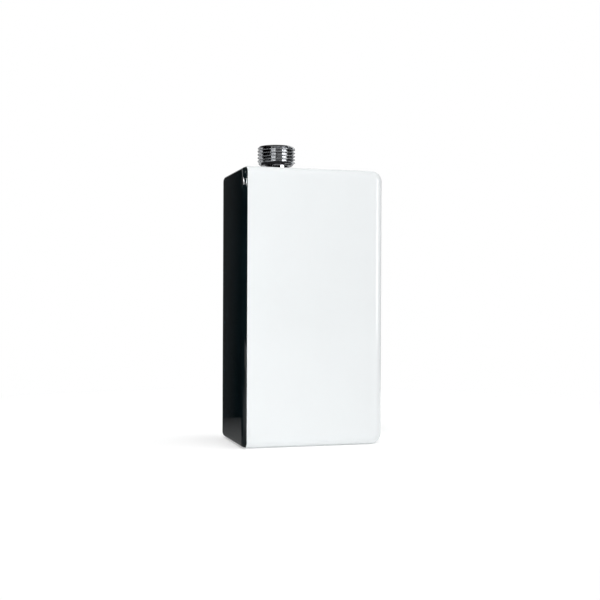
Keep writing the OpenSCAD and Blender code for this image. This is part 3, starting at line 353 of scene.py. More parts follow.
def cut_away(piece, cutters):
    """Cuts the joined cutters out of the piece and removes them."""
    cutter = join(cutters[0], cutters[1:])
    apply_modifier(
        piece, "BOOLEAN", object=cutter, operation="DIFFERENCE", solver="EXACT", use_self=True)
    bpy.data.objects.remove(cutter)


def sweep_helix(piece, axis, rise, turns, steps):
    """Sweeps a ring round its own axis as a helix and puts its place into the mesh."""
    apply_modifier(
        piece, "SCREW", axis=axis, angle=FULL_TURN, screw_offset=rise, iterations=turns, steps=steps,
        render_steps=steps, use_merge_vertices=False, use_smooth_shade=True)
    bpy.ops.object.transform_apply(location=True)


def soften(corners, steps=6):
    """Profile points from corners (radius, height, rounding)."""
    points = []
    count = len(corners)
    for i, (r, h, rounding) in enumerate(corners):
        here = Vector((r, h))
        if rounding <= 0:
            points.append(here)
            continue
        before = (Vector(corners[i - 1][:2]) - here).normalized()
        after = (Vector(corners[(i + 1) % count][:2]) - here).normalized()
        half = before.angle(after) / 2
        reach = rounding / math.tan(half)
        middle = here + (before + after).normalized() * (rounding / math.sin(half))
        start, end = here + before * reach - middle, here + after * reach - middle
        turn = start.angle_signed(end)
        for k in range(steps + 1):
            a = -turn * k / steps
            points.append(middle + Vector((
                start.x * math.cos(a) - start.y * math.sin(a),
                start.x * math.sin(a) + start.y * math.cos(a))))
    return points


def turned(name, profile, at, along, steps):
    """Spins a closed profile of (radius, height) points round an axis."""
    at, along = Vector(at), Vector(along)
    side = along.orthogonal().normalized()
    piece = add_ring(name, len(profile), at)
    bpy.ops.object.transform_apply(location=True)
    mesh = edit(piece)
    for corner, (r, h) in zip(mesh.verts, profile):
        corner.co = at + side * r + along * h
    bmesh.update_edit_mesh(piece.data)
    select_all()
    bpy.ops.mesh.spin(steps=steps, angle=FULL_TURN, center=at, axis=along)
    merge_doubles()
    bpy.ops.mesh.delete_loose()
    face_outwards()
    clear_selection()
    return piece


def tooth_profile(pitch, depth):
    """One pitch of a rounded 55 degree pipe thread: (height, rise) points from root to root."""
    rounding = 0.1373 * pitch  # the standard's radius at root and crest
    lead = math.radians(90 - 55 / 2)
    steps = [lead * k / 3 for k in range(4)]
    foot = [(rounding * math.sin(a), rounding * (1 - math.cos(a))) for a in steps]
    crest = [(pitch / 2 - h, depth - r) for h, r in reversed(foot)]
    rising = foot + [(pitch / 4, depth / 2)] + crest
    return rising + [(pitch - h, r) for h, r in reversed(rising[:-1])]


def helical_wall(name, low, high, root, rise, phase):
    """Threaded wall round the water's axis, cut off square at both ends."""
    s = sizes()
    pitch = s.thread_pitch
    profile = tooth_profile(pitch, s.thread_depth)
    piece = add_ring(name, len(profile), (AXIS_X, 0, 0))
    mesh = edit(piece)
    mesh.verts.ensure_lookup_table()
    start = low - (1.5 + phase) * pitch
    for corner, (h, r) in zip(mesh.verts, profile):
        corner.co = Vector((root + rise * r, 0, start + h))
    ends = {mesh.verts[0], mesh.verts[-1]}
    for edge in mesh.edges:
        edge.select_set(set(edge.verts) == ends)
    bmesh.update_edit_mesh(piece.data)
    bpy.ops.mesh.delete(type="EDGE")
    sweep_helix(piece, "Z", pitch, math.ceil((high - low) / pitch) + 3, s.round_steps)
    edit(piece)
    for height, up in ((low, -1), (high, 1)):
        merge_doubles()
        select_all()
        bpy.ops.mesh.bisect(
            plane_co=(AXIS_X, 0, height), plane_no=(0, 0, up), clear_outer=True, threshold=1e-8)
    return piece


def from_axis(corner):
    return Vector((corner.co.x - AXIS_X, corner.co.y))


def limit_radius(piece, allowed, outside):
    """Brings the wall's corners back to the radius that is allowed at their height."""
    mesh = edit(piece)
    for corner in mesh.verts:
        flat = from_axis(corner)
        most = allowed(corner.co.z)
        if (flat.length > most) == outside:
            flat = flat.normalized() * most
            corner.co.x, corner.co.y = AXIS_X + flat.x, flat.y
    bmesh.update_edit_mesh(piece.data)


def carry_loop(piece, height, places):
    """Extrudes the open loop at a height through (radius, height) places round the water's axis."""
    pick(piece, "EDGE", lambda e: e.is_boundary and edge_at(e, 2, height))
    for radius, up in places:
        bpy.ops.mesh.extrude_region()
        mesh = bmesh.from_edit_mesh(piece.data)
        for corner in mesh.verts:
            if corner.select:
                flat = from_axis(corner).normalized() * radius
                corner.co = Vector((AXIS_X + flat.x, flat.y, up))
        bmesh.update_edit_mesh(piece.data)


def close_shell(piece):
    """Bridges the two open loops that are left and turns all faces outwards."""
    pick(piece, "EDGE", lambda e: e.is_boundary)
    bpy.ops.mesh.bridge_edge_loops()
    merge_doubles()
    face_outwards()
    clear_selection()


def complete(piece, slot, *nodes, smooth=35, even=True, body="heater"):
    """Smooths, paints and mounts a finished piece that stands for CAD nodes."""
    make_active(piece)
    bpy.ops.object.shade_smooth_by_angle(angle=math.radians(smooth))
    if even:
        apply_modifier(piece, "WEIGHTED_NORMAL", keep_sharp=True, weight=80)
    piece.data.materials.clear()
    piece.data.materials.append(finish_material(slot))
    if body:
        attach(piece, body)
    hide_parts(*nodes)
    clear_selection()


# Finishes

class Tree:
    """Short ways to add and link shader nodes."""

    def __init__(self, owner):
        owner.use_nodes = True
        self.nodes = owner.node_tree.nodes
        self.links = owner.node_tree.links

    def add(self, kind, inputs=None, **settings):
        """A new node; each input gets a fixed value or a link."""
        node = self.nodes.new(kind)
        for key, value in settings.items():
            setattr(node, key, value)
        for key, value in (inputs or {}).items():
            if isinstance(value, bpy.types.NodeSocket):
                self.links.new(value, node.inputs[key])
            else:
                node.inputs[key].default_value = value
        return node

    def seen_directly(self):
        """1 for rays from the camera, a mirror or glass, 0 for light"""
        path = self.add("ShaderNodeLightPath").outputs
        seen = path["Is Camera Ray"]
        for name in ("Is Glossy Ray", "Is Transmission Ray"):
            seen = self.add("ShaderNodeMath", {0: seen, 1: path[name]}, operation="MAXIMUM").outputs[0]
        return seen


class Finish(Tree):
    """A procedural material on the object's own coordinates."""
    DARK, LIGHT = 0.3, 0.7  # the part of a noise's range that is used

    def __init__(self, slot):
        self.material = bpy.data.materials.new(slot + "_finish")
        super().__init__(self.material)
        self.shader = self.nodes["Principled BSDF"]
        self.place = self.add("ShaderNodeTexCoord").outputs["Object"]

    def noise(self, scale, detail=2.0, rough=0.5, stretch=(1, 1, 1)):
        place = self.add("ShaderNodeMapping", {"Scale": stretch, "Vector": self.place}).outputs["Vector"]
        inputs = {"Scale": scale, "Detail": detail, "Roughness": rough, "Vector": place}
        return self.add("ShaderNodeTexNoise", inputs).outputs["Fac"]

    def colours(self, fac, stops):
        ramp = self.add("ShaderNodeValToRGB", {"Fac": fac})
        while len(ramp.color_ramp.elements) < len(stops):
            ramp.color_ramp.elements.new(0.5)
        for element, (at, colour) in zip(ramp.color_ramp.elements, stops):
            element.position = at
            element.color = (*colour, 1)
        self.links.new(ramp.outputs["Color"], self.shader.inputs["Base Color"])

    def tone(self, fac, colour, spread):
        dark = [c * (1 - spread) for c in colour]
        light = [min(1.0, c * (1 + spread)) for c in colour]
        self.colours(fac, [(self.DARK, dark), (self.LIGHT, light)])

    def gloss(self, fac, low, high):
        span = self.add("ShaderNodeMapRange", {
            "Value": fac, "From Min": self.DARK, "From Max": self.LIGHT, "To Min": low, "To Max": high})
        self.links.new(span.outputs["Result"], self.shader.inputs["Roughness"])

    def bump(self, fac, strength, height):
        bump = self.add("ShaderNodeBump", {"Strength": strength, "Distance": height, "Height": fac})
        self.links.new(bump.outputs["Normal"], self.shader.inputs["Normal"])


def moulded(slot, colour, tone, roughness, texture, height, specular=0.5):
    """Moulded plastic: faint cloudy tone, uneven gloss and a fine moulded skin."""
    finish = Finish(slot)
    clouds, patches, skin = finish.noise(38, 3), finish.noise(160, 4, 0.6), finish.noise(texture, 2)
    finish.tone(clouds, colour, tone)
    finish.gloss(patches, *roughness)
    finish.bump(skin, 0.35, height)
    finish.shader.inputs["Specular IOR Level"].default_value = specular
    return finish.material


def metal(slot, colour, tone, roughness, stretch, scale, height):
    """Bare metal: drawn or turned marks in tone, gloss and relief."""
    finish = Finish(slot)
    marks, wear = finish.noise(scale, 4, 0.6, stretch), finish.noise(scale * 0.6, 3, 0.6, stretch)
    finish.tone(marks, colour, tone)
    finish.gloss(wear, *roughness)
    finish.bump(marks, 0.3, height)
    finish.shader.inputs["Metallic"].default_value = 1.0
    return finish.material


def earth_stripes(slot, green, yellow):
    finish = Finish(slot)
    wave = finish.add(
        "ShaderNodeTexWave", {"Scale": 95, "Distortion": 0.6, "Vector": finish.place}, wave_type="BANDS",
        bands_direction="DIAGONAL", wave_profile="SIN")
    finish.colours(wave.outputs["Fac"], [(0.0, green), (0.62, green), (0.66, yellow), (1.0, yellow)])
    finish.gloss(finish.noise(400, 3), 0.38, 0.5)
    finish.bump(finish.noise(1500, 2), 0.3, 0.00002)
    return finish.material


# tone spread, roughness range, texture scale and height, and the shine where it isn't the usual one
PLASTICS = {
    "housing_white": (0.006, (0.13, 0.17), 700, 0.000012, 0.45),
    "cover_black": (0.25, (0.02, 0.04), 420, 0.000006),
    "rubber_black": (0.2, (0.55, 0.72), 2600, 0.00004),
    "grey_plastic": (0.08, (0.5, 0.62), 1800, 0.00003),
    "natural_plastic": (0.04, (0.42, 0.55), 1500, 0.00002),
    "ceramic": (0.05, (0.5, 0.68), 2200, 0.00004),
    "switch_black": (0.2, (0.4, 0.52), 1700, 0.00003),
    "red_plastic": (0.08, (0.3, 0.4), 1400, 0.00002),
    "brown_lead": (0.1, (0.36, 0.48), 1500, 0.00002),
    "blue_lead": (0.1, (0.36, 0.48), 1500, 0.00002),
}
# tone spread, roughness range, stretch of the marks, their scale and height
METALS = {
    "nipple_metal": (0.05, (0.07, 0.12), (0.2, 0.2, 6), 700, 0.000006),
    "steel": (0.08, (0.26, 0.38), (1, 1, 4), 500, 0.00001),
    "plated_steel": (0.06, (0.24, 0.34), (1, 3, 1), 450, 0.00001),
    "aluminium": (0.05, (0.3, 0.4), (4, 1, 1), 500, 0.00001),
    "brass": (0.07, (0.2, 0.3), (0.6, 0.6, 4), 500, 0.00001),
    "copper": (0.09, (0.24, 0.36), (2, 2, 0.4), 350, 0.00001),
}


def finish_material(slot):
    if slot + "_finish" in bpy.data.materials:
        return bpy.data.materials[slot + "_finish"]
    colour = tuple(getattr(finishes(), slot))
    if slot in PLASTICS:
        return moulded(slot, colour, *PLASTICS[slot])
    if slot in METALS:
        return metal(slot, colour, *METALS[slot])
    return earth_stripes(slot, colour, tuple(finishes().earth_yellow))


# Pieces

class HEATER_OT_housing(bpy.types.Operator):
    """Models the white housing: a rounded tub with its mouth on the left"""
    bl_idname = "heater.housing"
    bl_label = "White housing"

    def execute(self, context):
        s = sizes()
        low, high = SHELL_LOW, SHELL_HIGH
        shell = add_block("white_housing", low, high)
        pick(shell, "FACE", facing(0, -1))
        bpy.ops.mesh.inset(thickness=s.wall)
        extrude(high.x - low.x - s.wall)
        pick(shell, "EDGE", lambda e: edge_at(e, 0, high.x) and edge_along(e, 1))
        round_edges(s.end_corner, 14)
        pick(shell, "EDGE", lambda e: edge_at(e, 0, high.x - s.wall) and edge_along(e, 1))
        round_edges(s.end_corner - s.wall, 8)
        clear_selection()
        self.weigh_edges(shell.data)
        apply_modifier(
            shell, "BEVEL", width=s.end_edge, segments=12, limit_method="WEIGHT", profile=0.5,
            use_clamp_overlap=False)
        pick(shell, "EDGE", lambda e: edge_at(e, 0, low.x) and e.calc_face_angle(0) > 1 and any(
            abs(f.normal.x) < 0.5 and faces_out(f) for f in e.link_faces))
        round_edges(s.mouth_edge, 3)
        self.cut_openings(shell)
        self.add_bosses(shell)
        complete(shell, "housing_white", "housing_shell")
        return {"FINISHED"}

    def weigh_edges(self, mesh):
        """Says how much of the widest rounding each long edge gets"""
        s = sizes()
        low, high = SHELL_LOW, SHELL_HIGH
        weights = mesh.attributes.new("bevel_weight_edge", "FLOAT", "EDGE")
        for edge in mesh.edges:
            a, b = (mesh.vertices[i].co for i in edge.vertices)
            if near(a.x, low.x) and near(b.x, low.x):
                continue
            along = abs((b - a).normalized().x)
            if any(near(a.y, y) and near(b.y, y) for y in (low.y, high.y)):
                weights.data[edge.index].value = (
                    s.long_edge * along + s.end_edge * (1 - along)) / s.end_edge
            elif any(near(a.y, y) and near(b.y, y) for y in (low.y + s.wall, high.y - s.wall)):
                weights.data[edge.index].value = (s.long_edge - s.wall) / s.end_edge

    def cut_openings(self, shell):
        s = sizes()
        top = SHELL_HIGH.z
        inside = SHELL_HIGH.y - s.wall - OVERCUT
        deep = s.wall + 2 * OVERCUT
        cable_step, screw_step = 0.0025, 0.0021
        hook_slot, hook_room, slot_half = 0.0009, 0.0022, 0.0062
        front = SHELL_LOW.y + s.wall
        cutters = [
            add_rod("cut", (AXIS_X, 0, top - s.wall - OVERCUT), (AXIS_X, 0, top + OVERCUT), s.outlet_hole),
            add_rod("cut", (AXIS_X, 0, -OVERCUT), (AXIS_X, 0, s.wall + OVERCUT), s.inlet_hole),
            self.stepped_cut(
                s.cable_hole, cable_step, s.cable_recess, deep, (CABLE_X, inside, CABLE_Z), 96),
        ]
        for z in SCREW_HEIGHTS:
            cutters.append(self.stepped_cut(
                s.screw_hole, screw_step, s.screw_recess, deep, (SCREW_X, inside, z), 48))
            cutters.append(add_block(
                "cut", (COVER_HIGH.x - hook_room, front - hook_slot, z - slot_half),
                (COVER_HIGH.x + s.fit_gap, front + OVERCUT, z + slot_half)))
        cut_away(shell, cutters)

    def stepped_cut(self, hole, step, recess, deep, place, sides):
        profile = [(0, 0), (hole, 0), (hole, step), (recess, step), (recess, deep), (0, deep)]
        return turned("cut", profile, place, (0, 1, 0), sides)

    def add_bosses(self, shell):
        """Two bosses in the closed end for the terminal block's screws"""
        outer, hole, deep, half_pitch = 0.004, 0.0011, 0.0068, 0.0045
        reach = SHELL_HIGH.x - sizes().wall / 2 - BLOCK_HIGH.x
        middle = (BLOCK_LOW.z + BLOCK_HIGH.z) / 2
        profile = soften([
            (hole, 0, 0.0002), (outer, 0, 0.0004), (outer, reach, 0), (0, reach, 0), (0, deep, 0),
            (hole, deep, 0)], 3)
        join(shell, [
            turned("boss", profile, (BLOCK_HIGH.x, 0, middle + step), (1, 0, 0), 48)
            for step in (-half_pitch, half_pitch)])


class HEATER_OT_end_cover(bpy.types.Operator):
    """Models the black end cover with its spigot, screw bosses and hooks"""
    bl_idname = "heater.end_cover"
    bl_label = "Black end cover"
    sunk = 0.0006  # how far bosses and hooks start inside the cover

    def execute(self, context):
        s = sizes()
        mouth = SHELL_LOW.x
        half_y = SHELL_HIGH.y - s.cover_inset
        low = Vector((COVER_LOW.x, -half_y, s.cover_inset))
        high = Vector((mouth, half_y, SHELL_HIGH.z - s.cover_inset))
        cover = add_block("black_cover", low, high)
        pick(cover, "EDGE", lambda e: edge_along(e, 0))
        round_edges(s.long_edge - s.cover_inset, 12)
        pick(cover, "EDGE", lambda e: edge_at(e, 0, low.x))
        round_edges(s.cover_edge, 12)
        pick(cover, "FACE", facing(0, 1))
        bpy.ops.mesh.inset(thickness=s.wall + s.fit_gap - s.cover_inset)
        extrude(s.spigot)
        bpy.ops.mesh.inset(thickness=s.spigot_wall)
        extrude(-s.spigot)
        groove = (mouth + s.groove_from, mouth + s.groove_to)
        for x in groove:
            select_all()
            bpy.ops.mesh.bisect(plane_co=(x, 0, 0), plane_no=(1, 0, 0))
        pick(cover, "FACE", lambda f: groove[0] < f.calc_center_median().x < groove[1] and faces_out(f))
        bpy.ops.mesh.extrude_region_shrink_fatten(
            TRANSFORM_OT_shrink_fatten={"value": -s.groove_depth})
        extras = []
        for z in SCREW_HEIGHTS:
            extras += [self.screw_boss(z), *self.hook(z)]
        join(cover, extras)
        complete(cover, "cover_black", "end_cover")
        return {"FINISHED"}

    def screw_boss(self, z):
        s = sizes()
        half, past, rounding = 0.005, 0.0035, 0.0012
        deep, hole_deep, hole = 0.0068, 0.0062, 0.00125
        end = SCREW_X + past
        back = SHELL_HIGH.y - s.wall - s.fit_gap
        boss = add_block(
            "boss", (SHELL_LOW.x - self.sunk, back - deep, z - half), (end, back, z + half))
        pick(boss, "EDGE", lambda e: edge_at(e, 0, end) and edge_at(e, 1, back - deep))
        round_edges(rounding, 4)
        cut_away(boss, [add_rod(
            "cut", (SCREW_X, back - hole_deep, z), (SCREW_X, back + OVERCUT, z), hole, 32)])
        return boss

    def hook(self, z):
        s = sizes()
        half, thick, tip, lift = 0.006, 0.0018, 0.002, 0.0007
        overlap, slope = 0.001, 0.0006
        end = COVER_HIGH.x
        wall = SHELL_LOW.y + s.wall
        front = wall + s.fit_gap
        arm = add_block(
            "hook", (SHELL_LOW.x - self.sunk, front, z - half), (end, front + thick, z + half))
        pick(arm, "FACE", facing(0, 1))
        extrude(-tip)
        lug = add_block("lug", (end - tip, wall - lift, z - half), (end, front + overlap, z + half))
        pick(lug, "EDGE", lambda e: edge_at(e, 0, end) and edge_at(e, 1, wall - lift))
        round_edges(slope, 2)
        clear_selection()
        return arm, lug


class HEATER_OT_outlet_nipple(bpy.types.Operator):
    """Models the threaded outlet nipple"""
    bl_idname = "heater.outlet_nipple"
    bl_label = "Outlet nipple"

    def execute(self, context):
        s = sizes()
        low, high = NIPPLE_HIGH.z - s.thread_length, NIPPLE_HIGH.z
        foot = NIPPLE_LOW.z
        crest = (NIPPLE_HIGH.x - NIPPLE_LOW.x) / 2
        neck, bore = s.neck / 2, s.bore / 2
        edge, chamfer, lip, lip_step = 0.0001, 0.0004, 0.0009, 0.0006
        nipple = helical_wall("outlet_thread", low, high, crest - s.thread_depth, 1, 0.0)

        def chamfered(z):
            return crest + min(high - z - s.thread_chamfer, 0)

        limit_radius(nipple, lambda z: min(chamfered(z), crest + z - low - s.thread_run_out), True)
        limit_radius(nipple, lambda z: chamfered(z) if z > high - s.thread_chamfer else 0, False)
        carry_loop(nipple, low, [
            (neck + edge, low), (neck, low - edge), (neck, low - 2 * edge),
            (neck, foot + chamfer + 2 * edge), (neck, foot + chamfer), (neck - chamfer, foot),
            (bore, foot)])
        carry_loop(nipple, high, [(bore + lip, high), (bore + lip_step, high - edge), (bore, high - lip)])
        close_shell(nipple)
        complete(nipple, "nipple_metal", "outlet_nipple", smooth=40, even=False)
        return {"FINISHED"}


class HEATER_OT_inlet_socket(bpy.types.Operator):
    """Models the threaded inlet socket in the bottom"""
    bl_idname = "heater.inlet_socket"
    bl_label = "Inlet socket"

    def execute(self, context):
        s = sizes()
        low, top = SOCKET_LOW.z, SOCKET_HIGH.z
        high = low + s.inlet_depth
        crest = s.inlet_crest / 2
        collar, flange, spigot, bore = 0.013, 0.016, 0.0123, 0.0097
        collar_top, flange_top = 0.004, 0.008
        seat, seat_low, seat_high = 0.01069, 0.01466, 0.01702
        edge, edge_step = 0.0003, 0.0001
        socket = helical_wall("inlet_thread", low, high, crest + s.thread_depth, -1, 0.3)
        limit_radius(socket, lambda z: crest + max(s.inlet_lead_in - (z - low), 0), False)
        carry_loop(socket, low, [
            (collar - edge, low), (collar - edge_step, low + edge_step), (collar, low + edge),
            (collar, collar_top), (flange - edge, collar_top), (flange, collar_top + edge),
            (flange, flange_top - edge), (flange - edge, flange_top), (spigot, flange_top)])
        carry_loop(socket, high, [
            (bore, high), (bore, top - edge), (bore + edge, top), (spigot - edge, top),
            (spigot, top - edge), (spigot, seat_high), (seat, seat_high), (seat, seat_low),
            (spigot, seat_low)])
        close_shell(socket)
        complete(socket, "brass", "inlet_socket", smooth=40, even=False)
        return {"FINISHED"}


class HEATER_OT_grommets(bpy.types.Operator):
    """Models the rubber grommets of the outlet and of the supply cable"""
    bl_idname = "heater.grommets"
    bl_label = "Grommets"

    def execute(self, context):
        s = sizes()
        low, high = GROMMET_LOW.z, GROMMET_HIGH.z
        play, slot_deep, lean = 0.00005, 0.002, 0.0003
        bore = s.neck / 2 + play
        outer = (GROMMET_HIGH.x - GROMMET_LOW.x) / 2
        slot = outer - slot_deep
        inside, top = SHELL_HIGH.z - s.wall, SHELL_HIGH.z
        outlet = turned("outlet_collar", soften([
            (bore, low, 0.0003), (outer, low, 0.0005), (outer, inside, 0.0001), (slot, inside, 0),
            (slot, top, 0), (outer, top, 0.0001), (outer - lean, high, 0.0009), (bore, high, 0.0004)]),
            (AXIS_X, 0, 0), (0, 0, 1), s.round_steps)
        complete(outlet, "rubber_black", "outlet_grommet", smooth=50)

        low, high = CABLE_LOW.y, CABLE_HIGH.y
        bore = s.cable / 2
        sleeve_wall, slot, sunk, rim = 0.0016, 0.0065, 0.001, 0.0015
        sleeve = bore + sleeve_wall
        flange = (CABLE_HIGH.x - CABLE_LOW.x) / 2
        inside, recess = SHELL_HIGH.y - s.wall, SHELL_HIGH.y - sunk
        behind = inside - rim
        cable = turned("cable_collar", soften([
            (bore, low, 0.0004), (sleeve, low, 0.0006), (sleeve, behind, 0), (flange, behind, 0.0005),
            (flange, inside, 0.0001), (slot, inside, 0), (slot, recess, 0), (flange, recess, 0),
            (flange, high, 0.0005), (bore, high, 0.0007)]),
            (CABLE_X, 0, CABLE_Z), (0, 1, 0), s.round_steps)
        complete(cable, "rubber_black", "cable_grommet", smooth=50)
        return {"FINISHED"}


class HEATER_OT_cover_screws(bpy.types.Operator):
    """Models one sunk cover screw and copies it"""
    bl_idname = "heater.cover_screws"
    bl_label = "Cover screws"

    def execute(self, context):
        tip, top = SCREWS_LOW.y, SCREWS_HIGH.y
        low, high = SCREW_HEIGHTS
        head, head_side, crown = 0.0028, 0.0004, 0.0012
        shank, point, taper = 0.00125, 0.0004, 0.0016
        cross, cross_taper = (0.0028, 0.0013, 0.0008), (0.55, 1, 0.55)
        under = top - 0.0012
        screw = turned("cover_screw_low", soften([
            (0, tip, 0), (point, tip, 0), (shank, tip + taper, 0.0003), (shank, under, 0),
            (head, under, 0.0002), (head, top - head_side, 0.0004), (crown, top, 0.002), (0, top, 0)], 5),
            (SCREW_X, 0, low), (0, 1, 0), 64)
        arms = []
        for turn in (0, QUARTER_TURN):
            clear_selection()
            bpy.ops.mesh.primitive_cube_add(
                size=1, location=(SCREW_X, top, low), rotation=(0, turn, 0), scale=cross)
            arm = take("cut")
            pick(arm, "FACE", facing(1, -1))
            bpy.ops.transform.resize(value=cross_taper, center_override=(SCREW_X, top, low))
            arms.append(arm)
        cut_away(screw, arms)
        make_active(screw)
        bpy.ops.object.duplicate(linked=False)
        other = bpy.context.object
        other.name = other.data.name = "cover_screw_high"
        edit(other)
        select_all()
        bpy.ops.transform.translate(value=(0, 0, high - low))
        for piece in (screw, other):
            complete(piece, "steel", "cover_screws", smooth=40)
        return {"FINISHED"}


class HEATER_OT_flow_switch(bpy.types.Operator):
    """Models the plunger's spring, and the diaphragm that gives way as the plunger moves"""
    bl_idname = "heater.flow_switch"
    bl_label = "Flow switch"

    def execute(self, context):
        self.add_spring()
        self.add_diaphragm()
        return {"FINISHED"}

    def add_spring(self):
        """A wire coil in the plunger spring's place"""
        s = sizes()
        wire = s.spring_wire / 2
        place = Vector((SPRING_LOW.x + wire, 0, (SPRING_LOW.z + SPRING_HIGH.z) / 2))
        span = SPRING_HIGH.x - SPRING_LOW.x
        spring = add_ring("return_spring", 14, place, wire)
        edit(spring)
        select_all()
        bpy.ops.transform.rotate(value=QUARTER_TURN, orient_axis="X", center_override=place)
        bpy.ops.transform.translate(value=(0, 0, (SPRING_HIGH.z - SPRING_LOW.z) / 2 - wire))
        sweep_helix(spring, "X", (span - 2 * wire) / s.spring_turns, s.spring_turns, 60)
        edit(spring)
        merge_doubles()
        bpy.ops.mesh.fill_holes(sides=0)
        face_outwards()
        complete(spring, "steel", "plunger_spring", smooth=50, even=False)
        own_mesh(spring)

    def add_diaphragm(self):
        """A rubber sheet with a round fold, clamped at its rim and carried by the plunger in the middle"""
        s = sizes()
        height = (SHEET_LOW.z + SHEET_HIGH.z) / 2
        rim = (SHEET_HIGH.z - SHEET_LOW.z) / 2
        foot, face, top = SHEET_LOW.x, SHEET_HIGH.x - s.sheet, SHEET_HIGH.x
        fold, plate, free = s.sheet_fold / 2, s.sheet_plate / 2, s.sheet_free / 2
        outer, inner, groove = 0.001, 0.0005, foot + 0.0006
        bend, bulge, hollow, edge = 0.0002, 0.00075, 0.00045, 0.00015
        sheet = turned("flow_diaphragm", soften([
            (0, face, 0), (plate, face, 0), (fold - outer, face, bend), (fold - outer, foot, bulge),
            (fold + outer, foot, bulge), (fold + outer, face, bend), (free, face, 0), (rim, face, edge),
            (rim, top, edge), (free, top, 0), (fold + inner, top, bend), (fold + inner, groove, hollow),
            (fold - inner, groove, hollow), (fold - inner, top, bend), (plate, top, 0), (0, top, 0)]),
            (0, 0, height), (1, 0, 0), s.round_steps)
        holes = []
        for k in range(4):
            a = math.radians(45 + 90 * k)
            y, z = s.sheet_screws / 2 * math.cos(a), height + s.sheet_screws / 2 * math.sin(a)
            holes.append(add_rod(
                "cut", (face - OVERCUT, y, z), (top + OVERCUT, y, z), s.sheet_hole / 2, 40))
        cut_away(sheet, holes)
        complete(sheet, "rubber_black", "diaphragm", smooth=40, even=False, body=None)
        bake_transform(sheet, "heater", "plunger", start=(face, 0, height + free), end=(face, 0, height + plate))
        # The same share all round: the distance from the axis sets it
        for corner, share in zip(sheet.data.vertices, sheet.data.attributes["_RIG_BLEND"].data):
            reach = math.hypot(corner.co.y, corner.co.z - height)
            part = min(max((free - reach) / (free - plate), 0), 1)
            share.value = part * part * (3 - 2 * part)


class HEATER_OT_inner_works(bpy.types.Operator):
    """Gives every CAD piece that stays its finish"""
    bl_idname = "heater.inner_works"
    bl_label = "Inner works"

    def execute(self, context):
        slots = {part["node"]: part["material_slot"] for part in frame["record"]["subparts"]}
        for name, node in frame["nodes"].items():
            node.data.materials.clear()
            node.data.materials.append(finish_material(slots[name]))
        return {"FINISHED"}


